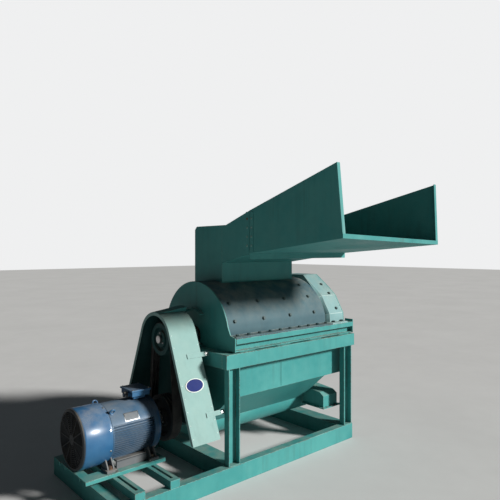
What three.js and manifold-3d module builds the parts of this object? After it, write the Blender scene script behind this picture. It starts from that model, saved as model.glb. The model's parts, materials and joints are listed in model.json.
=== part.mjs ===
// Hammer mill for grain, cobs and dry fodder: a hammer rotor in a split drum housing on a channel-steel
// skid, fed from above by a wide open trough, driven by a foot-mounted motor through a banded V-belt,
// with a screw conveyor under the screen. Millimetres, +Z up, +X along the shafts from motor to mill,
// -Y towards the feeding side. The finished group's origin is the middle of the footprint on the floor.
import * as THREE from "three";
import { mergeVertices } from "three/addons/utils/BufferGeometryUtils.js";
import Module from "manifold-3d";

// Driving dimensions. They are measured from the floor corner under the front left leg.
const GAP = 0.3; // clearance between parts that touch
const STEEL = 8; // rolled channel thickness
const PLATE = 6; // housing plate
const SHEET = 5; // feed trough and hopper sheet

const SKID = { left: -820, right: 1350, front: -10, rear: 970, height: 125, flange: 65 };
const CROSS = { width: 130, leftAt: 10, rightAt: 1215 };
const LEG = { width: 100, depth: 50, top: 785, leftAt: 0, rightAt: 1250 };
const RAIL = { left: -20, right: 1390, top: 885, front: 0, rear: 960, leftWidth: 80, rightWidth: 72 };
const SILL = { left: 71, right: 1380, front: 5, bottom: 893, top: 985, endTop: 1007, lip: 38, web: 40 };

const AXIS = { y: 480, z: 960 }; // rotor axis
const DRUM = { left: 71, right: 1110, radius: 403, skirtTop: 1055, front: 88, bottom: 552 };
const HOOD = { right: 1306, flare: 1135 };
const FLANGE_THICK = 12;
const END_PLATE = 10;

const HAMMER_CIRCLE = 190; // hammer rods round the rotor axis
const HAMMER = { reach: 165, head: 25, width: 50, thick: 6 };
const DISC = { radius: 235, half: 4, count: 6, firstAt: 105, pitch: 192 };
const ROD_RADIUS = 12;
const SLEEVE_RADIUS = 18;
const SHAFT_RADIUS = 32.5;
const HUB_RADIUS = 60;

const NECK = { left: 241, right: 1014, front: 380, rear: 735, top: 1790, mouth: 1500 };
const JOINT = { y: 58, right: 1336, floor: 1575, leftTop: 1886, rightTop: 1905 };
const MOUTH = { bottomY: -775, topY: -730, left: 241, rightBottom: 1368, rightTop: 1420 };
const MOUTH_Z = { leftBottom: 1670, leftTop: 2130, rightBottom: 1640, rightTop: 2094 };
const LIP = 28; // folded edge round the mouth

const SCREW = { y: 480, z: 325, shaft: 25, flight: 118, pitch: 190, trough: 130, right: 1240 };
const HOPPER_RIGHT = 1100;
const SPOUT = { left: 1112, right: 1290, front: 110, top: 415, bottom: 270 };

const MOTOR = { y: 480, z: 400, radius: 188, core: 170, rear: -700, front: -368, nose: -292 };
const COWL = { radius: 193, rear: -895 };
const FEET = { spacing: 318, rearX: -710, frontX: -405, base: 200, thick: 15 };
const SLIDE_RAIL = { width: 70, height: 50, at: [-680, -436] };

const PULLEY = { left: -247, land: 9, groove: 16, grooves: 3, depth: 15 };
const MOTOR_PULLEY_RADIUS = 160;
const DRIVEN_PULLEY_RADIUS = 115;
const GUARD = { left: -300, right: -80, y: 462, radius: 200, splay: 22.4, foot: 340, sheet: 3 };

// Where the origin lies: the middle of the whole machine's length and width, on the floor.
const OUTER_MARGIN = 1.5; // sheet and lip beyond the mouth's named corners
const MID_X = (COWL.rear + MOUTH.rightTop) / 2;
const MID_Y = (MOUTH.bottomY - OUTER_MARGIN + SKID.rear) / 2;

const wasm = await Module();
wasm.setup();

const degrees = (angle) => (angle * Math.PI) / 180;

// ---- Solids ---------------------------------------------------------------------------------

// The same surface with its faces turned outwards, whichever way its profile ran.
function outward(geometry) {
  const flat = geometry.index ? geometry.toNonIndexed() : geometry;
  const points = flat.attributes.position.array;
  const corner = (i) => new THREE.Vector3().fromArray(points, i);
  let volume = 0;
  for (let i = 0; i < points.length; i += 9) {
    volume += corner(i).dot(corner(i + 3).cross(corner(i + 6)));
  }
  if (volume > 0) return flat;
  for (let i = 0; i < points.length; i += 9) {
    for (let k = 0; k < 3; k += 1) {
      [points[i + 3 + k], points[i + 6 + k]] = [points[i + 6 + k], points[i + 3 + k]];
    }
  }
  return flat;
}

function solidOf(geometry) {
  const bare = geometry.clone();
  bare.deleteAttribute("normal");
  bare.deleteAttribute("uv");
  const merged = mergeVertices(bare, 1e-4);
  return new wasm.Manifold(
    new wasm.Mesh({
      numProp: 3,
      vertProperties: merged.attributes.position.array,
      triVerts: new Uint32Array(merged.index.array),
    }),
  );
}

function geometryOf(solid) {
  const mesh = solid.getMesh();
  const geometry = new THREE.BufferGeometry();
  geometry.setAttribute("position", new THREE.BufferAttribute(mesh.vertProperties, 3));
  geometry.setIndex(new THREE.BufferAttribute(mesh.triVerts, 1));
  return geometry.toNonIndexed();
}

const join = (...pieces) => geometryOf(pieces.map(solidOf).reduce((a, b) => a.add(b)));

const cut = (piece, ...tools) =>
  geometryOf(tools.map(solidOf).reduce((a, b) => a.subtract(b), solidOf(piece)));

function box(x0, x1, y0, y1, z0, z1) {
  const shape = new THREE.BoxGeometry(x1 - x0, y1 - y0, z1 - z0);
  return shape.translate((x0 + x1) / 2, (y0 + y1) / 2, (z0 + z1) / 2);
}

function extruded(profile, depth, holes) {
  const toPoints = (list) => list.map(([a, b]) => new THREE.Vector2(a, b));
  const shape = new THREE.Shape(toPoints(profile));
  for (const hole of holes) shape.holes.push(new THREE.Path(toPoints(hole)));
  return new THREE.ExtrudeGeometry(shape, { depth, bevelEnabled: false });
}

// A prism along X from [y, z] points.
function prismX(profile, x0, x1, holes = []) {
  const along = new THREE.Matrix4().set(0, 0, 1, x0, 1, 0, 0, 0, 0, 1, 0, 0, 0, 0, 0, 1);
  return extruded(profile, x1 - x0, holes).applyMatrix4(along);
}

// A prism along Y from [x, z] points.
function prismY(profile, y0, y1) {
  const along = new THREE.Matrix4().set(1, 0, 0, 0, 0, 0, -1, y1, 0, 1, 0, 0, 0, 0, 0, 1);
  return extruded(profile, y1 - y0, []).applyMatrix4(along);
}

// A prism along Z from [x, y] points.
function prismZ(profile, z0, z1) {
  return extruded(profile, z1 - z0, []).translate(0, 0, z0);
}

// Turned work: [x, radius] points revolved round the line along X through (y, z).
function turned(profile, y, z, segments = 32) {
  const points = profile.map(([x, radius]) => new THREE.Vector2(radius, x));
  const shape = new THREE.LatheGeometry(points, segments).rotateZ(-Math.PI / 2);
  return outward(shape).translate(0, y, z);
}

function cylinderX(radius, x0, x1, y, z, segments = 24) {
  return turned([[x0, 0], [x0, radius], [x1, radius], [x1, 0]], y, z, segments);
}

// A ring along X: a turned tube with its own bore.
function ringX(bore, radius, x0, x1, y, z, segments = 32) {
  const profile = [[x0, bore], [x0, radius], [x1, radius], [x1, bore], [x0, bore]];
  return turned(profile, y, z, segments);
}

// Points of an arc in the Y-Z plane, from one angle to another in degrees.
function arc(y, z, radius, from, to, steps) {
  return Array.from({ length: steps + 1 }, (_, i) => {
    const angle = degrees(from + ((to - from) * i) / steps);
    return [y + radius * Math.cos(angle), z + radius * Math.sin(angle)];
  });
}

// A closed solid through rings of matching points, each ring a flat loop of Vector3 corners.
function loft(rings) {
  const count = rings[0].length;
  const triangles = [];
  for (let r = 0; r + 1 < rings.length; r += 1) {
    for (let i = 0; i < count; i += 1) {
      const j = (i + 1) % count;
      triangles.push(rings[r][i], rings[r][j], rings[r + 1][j]);
      triangles.push(rings[r][i], rings[r + 1][j], rings[r + 1][i]);
    }
  }
  for (const [ring, isFirst] of [[rings[0], true], [rings.at(-1), false]]) {
    const normal = new THREE.Vector3();
    ring.forEach((p, i) => normal.add(p.clone().cross(ring[(i + 1) % count])));
    const across = new THREE.Vector3().subVectors(ring[1], ring[0]).normalize();
    const up = new THREE.Vector3().crossVectors(normal.normalize(), across);
    const outline = ring.map((p) => new THREE.Vector2(p.dot(across), p.dot(up)));
    for (const [a, b, c] of THREE.ShapeUtils.triangulateShape(outline, [])) {
      triangles.push(...(isFirst ? [ring[a], ring[c], ring[b]] : [ring[a], ring[b], ring[c]]));
    }
  }
  const geometry = new THREE.BufferGeometry().setFromPoints(triangles);
  return outward(geometry);
}

const corners = (list) => list.map(([x, y, z]) => new THREE.Vector3(x, y, z));

// ---- Rolled sections ------------------------------------------------------------------------

function channelProfile(web, tips, low, high, thick) {
  const inner = web + Math.sign(tips - web) * thick;
  return [
    [web, low], [tips, low], [tips, low + thick], [inner, low + thick],
    [inner, high - thick], [tips, high - thick], [tips, high], [web, high],
  ];
}

// A channel along X with its web upright.
const channelX = (x0, x1, web, tips, z0, z1) => prismX(channelProfile(web, tips, z0, z1, STEEL), x0, x1);

// A channel along Y with its web upright.
const channelY = (y0, y1, web, tips, z0, z1) => prismY(channelProfile(web, tips, z0, z1, STEEL), y0, y1);

// A channel laid flat, its flanges down: [across, z] points.
function flatChannelProfile(a0, a1, z0, z1, thick) {
  return [
    [a0, z0], [a0, z1], [a1, z1], [a1, z0],
    [a1 - thick, z0], [a1 - thick, z1 - thick], [a0 + thick, z1 - thick], [a0 + thick, z0],
  ];
}

// An upright channel, open towards the machine's outside.
function uprightChannel(x0, x1, tips, web, z0, z1) {
  const inner = web + Math.sign(tips - web) * STEEL;
  const profile = [
    [x0, tips], [x0, web], [x1, web], [x1, tips],
    [x1 - STEEL, tips], [x1 - STEEL, inner], [x0 + STEEL, inner], [x0 + STEEL, tips],
  ];
  return prismZ(profile, z0, z1);
}

// ---- Finishes -------------------------------------------------------------------------------

const finish = (color, roughness, metalness) =>
  new THREE.MeshStandardMaterial({ color, roughness, metalness });

const TEAL = finish(0x5aa39b, 0.45, 0.1);
const SLATE = finish(0x5c7f86, 0.5, 0.1);
const MINT = finish(0xbfe6df, 0.4, 0.05);
const BLUE = finish(0x2f66a0, 0.4, 0.1);
const GREY = finish(0x7f8f92, 0.5, 0.2);
const BLACK = finish(0x1d2226, 0.6, 0.2);
const RUBBER = finish(0x17191b, 0.85, 0);
const RAW_STEEL = finish(0x8b8f92, 0.35, 0.9);
const WORN_STEEL = finish(0x6d665f, 0.55, 0.8);
const CAST_IRON = finish(0x4b5a5c, 0.6, 0.5);

const machine = new THREE.Group();
machine.position.set(-MID_X, -MID_Y, 0);

function part(name, geometry, material) {
  const mesh = new THREE.Mesh(geometry, material);
  mesh.name = name;
  machine.add(mesh);
}

// ---- Skid -----------------------------------------------------------------------------------

const SKID_INNER_LEFT = SKID.left + SKID.flange + GAP;
const FRONT_TIPS = SKID.front + SKID.flange;
const REAR_TIPS = SKID.rear - SKID.flange;

for (const [row, web, tips] of [["front", SKID.front, FRONT_TIPS], ["rear", SKID.rear, REAR_TIPS]]) {
  const rail = channelX(SKID_INNER_LEFT, SKID.right, web, tips, 0, SKID.height);
  part(`skid_${row}_rail`, rail, TEAL);
}
part(
  "skid_left_end",
  channelY(SKID.front, SKID.rear, SKID.left, SKID.left + SKID.flange, 0, SKID.height),
  TEAL,
);
for (const [name, at] of [["skid_left_cross", CROSS.leftAt], ["skid_right_cross", CROSS.rightAt]]) {
  const profile = flatChannelProfile(at, at + CROSS.width, 0, SKID.height, STEEL);
  part(name, prismY(profile, FRONT_TIPS + GAP, REAR_TIPS - GAP), TEAL);
}

// ---- Frame ----------------------------------------------------------------------------------

const LEG_ROWS = [
  ["front", RAIL.front, RAIL.front + LEG.depth],
  ["rear", RAIL.rear, RAIL.rear - LEG.depth],
];
for (const [row, tips, web] of LEG_ROWS) {
  for (const [side, at] of [["left", LEG.leftAt], ["right", LEG.rightAt]]) {
    const leg = uprightChannel(at, at + LEG.width, tips, web, SKID.height + GAP, LEG.top);
    part(`leg_${row}_${side}`, leg, TEAL);
  }
  part(`top_rail_${row}`, channelX(RAIL.left, RAIL.right, tips, web, LEG.top + GAP, RAIL.top), TEAL);
}
const SIDE_RAILS = [
  ["left", RAIL.left, RAIL.left + RAIL.leftWidth],
  ["right", RAIL.right, RAIL.right - RAIL.rightWidth],
];
for (const [side, web, tips] of SIDE_RAILS) {
  const y0 = RAIL.front + LEG.depth + GAP;
  const y1 = RAIL.rear - LEG.depth - GAP;
  part(`top_rail_${side}`, channelY(y0, y1, web, tips, LEG.top + GAP, RAIL.top), TEAL);
}

// Two sills carry the housing flanges. Each is an I with a lip folded down along its outer edge, so
// the web stands back in the lip's shade, and has packing feet below and an end plate on the right.
const mirrorY = (y) => 2 * AXIS.y - y;
const PACKING = { at: [120, 480, 840, 1200], length: 140, inset: 15 };

function sill(outer, inner) {
  const inwards = Math.sign(inner - outer);
  const lipBack = outer + inwards * STEEL;
  const webFront = outer + inwards * SILL.web;
  const webBack = webFront + inwards * STEEL;
  const upper = SILL.top - STEEL;
  const lower = SILL.bottom + STEEL;
  const profile = [
    [outer, SILL.top], [outer, SILL.top - SILL.lip], [lipBack, SILL.top - SILL.lip], [lipBack, upper],
    [webFront, upper], [webFront, lower], [lipBack, lower], [lipBack, SILL.bottom],
    [inner, SILL.bottom], [inner, lower], [webBack, lower], [webBack, upper], [inner, upper],
    [inner, SILL.top],
  ];
  const [low, high] = [outer, inner].toSorted((a, b) => a - b);
  const feet = PACKING.at.map((x) =>
    box(
      x, x + PACKING.length, low + PACKING.inset, high - PACKING.inset,
      RAIL.top + GAP, SILL.bottom + STEEL / 2,
    ),
  );
  return join(
    prismX(profile, SILL.left, SILL.right),
    box(SILL.right - STEEL, SILL.right, low, high, SILL.bottom, SILL.endTop),
    ...feet,
  );
}
const SILL_BACK = DRUM.front - GAP;
part("sill_front", sill(SILL.front, SILL_BACK), TEAL);
part("sill_rear", sill(mirrorY(SILL.front), mirrorY(SILL_BACK)), TEAL);

// ---- Housing plates -------------------------------------------------------------------------

const SKIRT_ANGLE = 180 - (Math.asin((DRUM.skirtTop - AXIS.z) / DRUM.radius) * 180) / Math.PI;
const across = (points) => points.map(([y, z]) => [mirrorY(y), z]);
const mirrored = (points) => across(points).reverse();

// The left plate follows the drum and steps out to the sill corners. It has a half ring round the shaft.
const leftCorner = [
  [DRUM.front, DRUM.bottom], [DRUM.front, SILL.bottom], [SILL.front + 3, SILL.bottom],
  [SILL.front + 3, SILL.top + 5], [60, 1002],
];
const leftOutline = [
  ...leftCorner,
  ...arc(AXIS.y, AXIS.z, DRUM.radius, SKIRT_ANGLE, 180 - SKIRT_ANGLE, 36),
  ...mirrored(leftCorner),
];
const SHAFT_HOLE = 70;
const PLATE_LEFT = DRUM.left - END_PLATE - GAP;
const shaftHole = arc(AXIS.y, AXIS.z, SHAFT_HOLE, 0, 360 - 15, 23);
const RING = { radius: 205, thick: 8, width: 42 };
const halfRing = [
  ...arc(AXIS.y, AXIS.z, RING.radius, 55, 125, 14),
  ...arc(AXIS.y, AXIS.z, RING.radius - RING.thick, 125, 55, 14),
];
part(
  "end_plate_left",
  join(
    prismX(leftOutline, PLATE_LEFT, DRUM.left - GAP, [shaftHole]),
    prismX(halfRing, PLATE_LEFT - RING.width, PLATE_LEFT + 2),
  ),
  TEAL,
);

const DIVIDER = { left: 1100.5, right: 1106.5 };
const coverInner = DRUM.radius - PLATE;
const dividerFront = DRUM.front + PLATE + 3;
const dividerCorner = [[dividerFront, DRUM.bottom], [dividerFront, DRUM.skirtTop]];
const dividerOutline = [
  ...dividerCorner,
  ...arc(AXIS.y, AXIS.z, coverInner - 2 * GAP, SKIRT_ANGLE - 1, 181 - SKIRT_ANGLE, 36),
  ...mirrored(dividerCorner),
];
part("divider_plate", prismX(dividerOutline, DIVIDER.left, DIVIDER.right, [shaftHole]), TEAL);

// The end hood's faceted outline, from the front skirt to the top.
const hoodFront = [
  [54, SILL.top + GAP + FLANGE_THICK], [60, 1066], [143, 1211], [207, 1268], [360, 1383],
];
const rightCorner = [
  [DRUM.front, DRUM.bottom], [DRUM.front, SILL.top + 2 * GAP], [hoodFront[0][0], SILL.top + 2 * GAP],
];
const rightOutline = [...rightCorner, ...hoodFront.slice(1)];
const rightEnd = [...rightOutline, ...mirrored(rightOutline)];
const compartmentFloor = box(
  DIVIDER.right + 5, HOOD.right + 2, DRUM.front + 8, mirrorY(DRUM.front + 8),
  DRUM.bottom, DRUM.bottom + PLATE,
);
part(
  "end_plate_right",
  join(prismX(rightEnd, HOOD.right + GAP, HOOD.right + END_PLATE, [shaftHole]), compartmentFloor),
  TEAL,
);

part(
  "front_panel",
  box(DRUM.left, HOOD.right, DRUM.front, DRUM.front + PLATE, DRUM.bottom, SILL.top),
  TEAL,
);
const EXHAUST = { left: 1135, right: 1285, bottom: 620, top: 820 };
const rearPanel = box(
  DRUM.left, HOOD.right, mirrorY(DRUM.front + PLATE), mirrorY(DRUM.front), DRUM.bottom, SILL.top,
);
const exhaustHole = box(EXHAUST.left, EXHAUST.right, 800, 900, EXHAUST.bottom, EXHAUST.top);
part("rear_panel", cut(rearPanel, exhaustHole), TEAL);

// ---- Covers ---------------------------------------------------------------------------------

const FLANGE_LOW = SILL.top + GAP;
const FLANGE_HIGH = FLANGE_LOW + FLANGE_THICK;
const feedOpening = box(
  NECK.left + SHEET, NECK.right - SHEET, NECK.front + SHEET, NECK.rear - SHEET, 1150, NECK.mouth,
);
const mainCoverOuter = [[SILL.front, FLANGE_LOW], [SILL.front, FLANGE_HIGH], [DRUM.front, FLANGE_HIGH]];
const mainCoverInner = [[DRUM.front + PLATE, FLANGE_LOW]];
const mainCoverProfile = [
  ...mainCoverOuter,
  ...arc(AXIS.y, AXIS.z, DRUM.radius, SKIRT_ANGLE, 180 - SKIRT_ANGLE, 36),
  ...mirrored(mainCoverOuter),
  ...mirrored(mainCoverInner),
  ...arc(AXIS.y, AXIS.z, coverInner, 181 - SKIRT_ANGLE, SKIRT_ANGLE - 1, 36),
  ...mainCoverInner,
];
part("main_cover", cut(prismX(mainCoverProfile, DRUM.left, DRUM.right - GAP), feedOpening), SLATE);

// The end hood grows from the drum's round to its own facets. Both ends share one list of corners.
const HOOD_INNER = [[66, 1064], [148, 1206], [211, 1262], [362, 1377]];

function hoodRing(x, growth) {
  const shaped = (points, radius) =>
    points.map(([y, z]) => {
      const angle = Math.atan2(z - AXIS.z, y - AXIS.y);
      const roundY = AXIS.y + radius * Math.cos(angle);
      const roundZ = AXIS.z + radius * Math.sin(angle);
      return [roundY + (y - roundY) * growth, roundZ + (z - roundZ) * growth];
    });
  const skirt = DRUM.front + (hoodFront[0][0] - DRUM.front) * growth;
  const outer = [
    [SILL.front, FLANGE_LOW], [SILL.front, FLANGE_HIGH], [skirt, FLANGE_HIGH],
    ...shaped(hoodFront.slice(1), DRUM.radius),
  ];
  const inner = [[skirt + PLATE, FLANGE_LOW], ...shaped(HOOD_INNER, coverInner)];
  const loop = [...outer, ...mirrored(outer), ...across(inner), ...inner.toReversed()];
  return corners(loop.map(([y, z]) => [x, y, z]));
}
part("end_hood", loft([hoodRing(DRUM.right, 0), hoodRing(HOOD.flare, 1), hoodRing(HOOD.right, 1)]), TEAL);

// ---- Feed: neck, transition and open trough -------------------------------------------------

const neckOuter = [
  [NECK.front, 1150], [NECK.rear, 1150], [NECK.rear, NECK.top - 25], [NECK.rear - 25, NECK.top],
  [NECK.front, NECK.top],
];
const neckInner = [
  [NECK.front + SHEET, 1100], [NECK.rear - SHEET, 1100], [NECK.rear - SHEET, NECK.top - 27],
  [NECK.rear - 27, NECK.top - SHEET], [NECK.front - 50, NECK.top - SHEET],
  [NECK.front - 50, NECK.mouth + SHEET], [NECK.front + SHEET, NECK.mouth + SHEET],
];
part(
  "inlet_neck",
  cut(
    prismX(neckOuter, NECK.left, NECK.right),
    prismX(neckInner, NECK.left + SHEET, NECK.right - SHEET),
    cylinderX(DRUM.radius + 2 * GAP, DRUM.left - 50, DRUM.right + 50, AXIS.y, AXIS.z, 144),
  ),
  TEAL,
);

// A closed block through four-cornered rings at several Y: [y, left, right, floor, leftTop, rightTop].
const blockY = (stations) =>
  loft(
    stations.map(([y, left, right, floor, leftTop, rightTop]) =>
      corners([[left, y, floor], [right, y, floor], [right, y, rightTop], [left, y, leftTop]]),
    ),
  );
const BEND_Y = 332; // the transition's top runs level to here
const bendShare = (NECK.front - BEND_Y) / (NECK.front - JOINT.y);
const between = (a, b) => a + (b - a) * bendShare;
const transitionStations = [
  [NECK.front - GAP, NECK.left, NECK.right, NECK.mouth, NECK.top, NECK.top],
  [
    BEND_Y, NECK.left, between(NECK.right, JOINT.right), between(NECK.mouth, JOINT.floor),
    NECK.top, NECK.top,
  ],
  [JOINT.y + GAP, NECK.left, JOINT.right, JOINT.floor, JOINT.leftTop, JOINT.rightTop],
];
const hollowed = ([y, left, right, floor, leftTop, rightTop], shift) => [
  y + shift, left + SHEET, right - SHEET, floor + SHEET, leftTop - SHEET, rightTop - SHEET,
];
const transitionHollow = [
  hollowed(transitionStations[0], 5),
  hollowed(transitionStations[1], 0),
  hollowed(transitionStations[2], -5),
];
const CROSS_ANGLE = { leg: 40, thick: 5 };
const angleTop = JOINT.floor - 1;
part(
  "feed_transition",
  cut(
    join(
      blockY(transitionStations),
      box(
        NECK.left, JOINT.right, JOINT.y + GAP, JOINT.y + CROSS_ANGLE.leg,
        angleTop - CROSS_ANGLE.thick, JOINT.floor + 2,
      ),
      box(
        NECK.left, JOINT.right, JOINT.y + GAP, JOINT.y + CROSS_ANGLE.thick,
        angleTop - CROSS_ANGLE.leg, JOINT.floor,
      ),
    ),
    blockY(transitionHollow),
  ),
  TEAL,
);

// The trough's outer end leans back: its upper corners lie behind its lower ones.
function troughWall(jointX, mouthBottom, mouthTop, jointTop, inward) {
  const inner = inward * SHEET;
  const [bottomX, bottomZ] = mouthBottom;
  const [topX, topZ] = mouthTop;
  const ring = (shift) =>
    corners([
      [jointX + shift, JOINT.y, JOINT.floor], [bottomX + shift, MOUTH.bottomY, bottomZ],
      [topX + shift, MOUTH.topY, topZ], [jointX + shift, JOINT.y, jointTop],
    ]);
  return loft([ring(0), ring(inner)]);
}
const floorRing = (rise) =>
  corners([
    [NECK.left, JOINT.y, JOINT.floor + rise], [JOINT.right, JOINT.y, JOINT.floor + rise],
    [MOUTH.rightBottom, MOUTH.bottomY, MOUTH_Z.rightBottom + rise],
    [MOUTH.left, MOUTH.bottomY, MOUTH_Z.leftBottom + rise],
  ]);

// One bar of the lip round the mouth, from corner to corner, with its section's width along X or Z.
function lipBar(from, to, widthX, widthZ) {
  const ring = ([x, y, z]) =>
    corners([
      [x, y, z], [x + widthX, y, z + widthZ], [x + widthX, y + SHEET, z + widthZ], [x, y + SHEET, z],
    ]);
  return loft([ring(from), ring(to)]);
}
const mouthCorners = {
  leftBottom: [MOUTH.left, MOUTH.bottomY - OUTER_MARGIN, MOUTH_Z.leftBottom],
  leftTop: [MOUTH.left, MOUTH.topY - OUTER_MARGIN, MOUTH_Z.leftTop],
  rightBottom: [MOUTH.rightBottom, MOUTH.bottomY - OUTER_MARGIN, MOUTH_Z.rightBottom],
  rightTop: [MOUTH.rightTop, MOUTH.topY - OUTER_MARGIN, MOUTH_Z.rightTop],
};
part(
  "feed_trough",
  join(
    troughWall(
      NECK.left, [MOUTH.left, MOUTH_Z.leftBottom], [MOUTH.left, MOUTH_Z.leftTop], JOINT.leftTop, 1,
    ),
    troughWall(
      JOINT.right, [MOUTH.rightBottom, MOUTH_Z.rightBottom], [MOUTH.rightTop, MOUTH_Z.rightTop],
      JOINT.rightTop, -1,
    ),
    loft([floorRing(0), floorRing(SHEET)]),
    lipBar(mouthCorners.leftBottom, mouthCorners.leftTop, LIP, 0),
    lipBar(mouthCorners.rightBottom, mouthCorners.rightTop, -LIP, 0),
    lipBar(mouthCorners.leftBottom, mouthCorners.rightBottom, 0, LIP),
  ),
  TEAL,
);

// ---- Grinding chamber linings ---------------------------------------------------------------

const LINER = { outer: 395, inner: 383, left: 74, right: 1098 };
const linerProfile = [
  ...arc(AXIS.y, AXIS.z, LINER.outer, 166, 14, 30),
  ...arc(AXIS.y, AXIS.z, LINER.inner, 14, 166, 30),
];
part("breaker_liner", cut(prismX(linerProfile, LINER.left, LINER.right), feedOpening), WORN_STEEL);

const SCREEN = { outer: 376, inner: 370, rows: 8, columns: 3, slotWide: 12, slotLong: 300, slotPitch: 333 };
const screenProfile = [
  ...arc(AXIS.y, AXIS.z, SCREEN.outer, 182, 358, 40),
  ...arc(AXIS.y, AXIS.z, SCREEN.inner, 358, 182, 40),
];
const screenSlots = [];
for (let row = 0; row < SCREEN.rows; row += 1) {
  for (let column = 0; column < SCREEN.columns; column += 1) {
    const x = 100 + SCREEN.slotPitch * column;
    const half = SCREEN.slotWide / 2;
    const slot = box(x, x + SCREEN.slotLong, -half, half, SCREEN.inner - 20, SCREEN.outer + 20);
    slot.rotateX(degrees(90 + 20 * (row + 1)));
    screenSlots.push(slot.translate(0, AXIS.y, AXIS.z));
  }
}
part("screen", cut(prismX(screenProfile, LINER.left, LINER.right), ...screenSlots), RAW_STEEL);

// ---- Rotor ----------------------------------------------------------------------------------

part(
  "rotor_shaft",
  turned(
    [
      [-262, 0], [-262, 27], [-100, 27], [-100, SHAFT_RADIUS], [1400, SHAFT_RADIUS], [1400, 0],
    ],
    AXIS.y, AXIS.z, 24,
  ),
  RAW_STEEL,
);
const discProfile = [[95, SHAFT_RADIUS + GAP], [95, HUB_RADIUS]];
for (let i = 0; i < DISC.count; i += 1) {
  const x = DISC.firstAt + DISC.pitch * i;
  discProfile.push(
    [x - DISC.half, HUB_RADIUS], [x - DISC.half, DISC.radius],
    [x + DISC.half, DISC.radius], [x + DISC.half, HUB_RADIUS],
  );
}
discProfile.push([1075, HUB_RADIUS], [1075, SHAFT_RADIUS + GAP], discProfile[0]);
const rodAngles = [45, 135, 225, 315];
const rodPlaces = rodAngles.map((angle) => [
  AXIS.y + HAMMER_CIRCLE * Math.cos(degrees(angle)),
  AXIS.z + HAMMER_CIRCLE * Math.sin(degrees(angle)),
]);
const rodHoles = rodPlaces.map(([y, z]) => cylinderX(SLEEVE_RADIUS + 2, 80, 1090, y, z, 8));
part("rotor_discs", cut(turned(discProfile, AXIS.y, AXIS.z, 28), ...rodHoles), WORN_STEEL);

// Each row of hammers turns on its own rod. Rows beside each other are staggered, so they pass.
rodPlaces.forEach(([y, z], row) => {
  part(`hammer_rod_${row + 1}`, cylinderX(ROD_RADIUS, 86, 1084, y, z, 10), RAW_STEEL);
  const offsets = row % 2 === 0 ? [-56, 24] : [-24, 56];
  const hammers = [];
  for (let bay = 0; bay + 1 < DISC.count; bay += 1) {
    const middle = DISC.firstAt + DISC.pitch * (bay + 0.5);
    for (const offset of offsets) {
      const x = middle + offset;
      hammers.push(
        box(
          x - HAMMER.thick / 2, x + HAMMER.thick / 2, y - HAMMER.width / 2, y + HAMMER.width / 2,
          z - HAMMER.reach, z + HAMMER.head,
        ),
      );
    }
  }
  const sleeve = cylinderX(SLEEVE_RADIUS, 92, 1078, y, z, 10);
  const bore = cylinderX(ROD_RADIUS + 1, 80, 1090, y, z, 10);
  part(`hammer_row_${row + 1}`, cut(join(sleeve, ...hammers), bore), WORN_STEEL);
});

// The fan wheel behind the divider shares the shaft.
const FAN = { left: 1150, right: 1262, radius: 330, paddle: 300 };
const fanHub = turned(
  [
    [FAN.left, SHAFT_RADIUS + GAP], [FAN.left, HUB_RADIUS], [FAN.right - 6, HUB_RADIUS],
    [FAN.right - 6, FAN.radius], [FAN.right, FAN.radius], [FAN.right, SHAFT_RADIUS + GAP],
    [FAN.left, SHAFT_RADIUS + GAP],
  ],
  AXIS.y, AXIS.z, 32,
);
const paddles = Array.from({ length: 6 }, (_, i) =>
  box(FAN.left, FAN.right - 3, -4, 4, HUB_RADIUS - 5, FAN.paddle)
    .rotateX(degrees(60 * i))
    .translate(0, AXIS.y, AXIS.z),
);
part("fan_wheel", join(fanHub, ...paddles), TEAL);

// Split bearing housings stand on the side rails.
function bearing(left, width) {
  const base = RAIL.top + GAP;
  const block = join(
    box(left, left + width, AXIS.y - 130, AXIS.y + 130, base, base + 22),
    box(left + 6, left + width - 6, AXIS.y - 70, AXIS.y + 70, base, AXIS.z),
    cylinderX(70, left + 6, left + width - 6, AXIS.y, AXIS.z, 28),
    cylinderX(52, left, left + width, AXIS.y, AXIS.z, 28),
  );
  return cut(block, cylinderX(SHAFT_RADIUS + GAP, left - 5, left + width + 5, AXIS.y, AXIS.z, 24));
}
part("bearing_left", bearing(RAIL.left + 4, 66), CAST_IRON);
part("bearing_right", bearing(RAIL.right - 68, 66), CAST_IRON);

// ---- Discharge: hopper, screw conveyor and spout --------------------------------------------

const hopperBlock = (shrink, extra) =>
  loft(
    [
      [DRUM.bottom - GAP + extra, DRUM.front, mirrorY(DRUM.front)],
      [SCREW.z + GAP - extra, SCREW.y - 135, SCREW.y + 135],
    ].map(([z, y0, y1]) =>
      corners([
        [DRUM.left + shrink, y0 + shrink, z], [HOPPER_RIGHT - shrink, y0 + shrink, z],
        [HOPPER_RIGHT - shrink, y1 - shrink, z], [DRUM.left + shrink, y1 - shrink, z],
      ]),
    ),
  );
const screwPass = cylinderX(SCREW.trough, HOPPER_RIGHT - 50, HOPPER_RIGHT + 50, SCREW.y, SCREW.z, 24);
const screwBore = cylinderX(SCREW.shaft + GAP, 0, 1400, SCREW.y, SCREW.z, 24);
const hopper = cut(hopperBlock(0, 0), hopperBlock(SHEET, 0.5), screwPass, screwBore);
part("discharge_hopper", hopper, TEAL);

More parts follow.
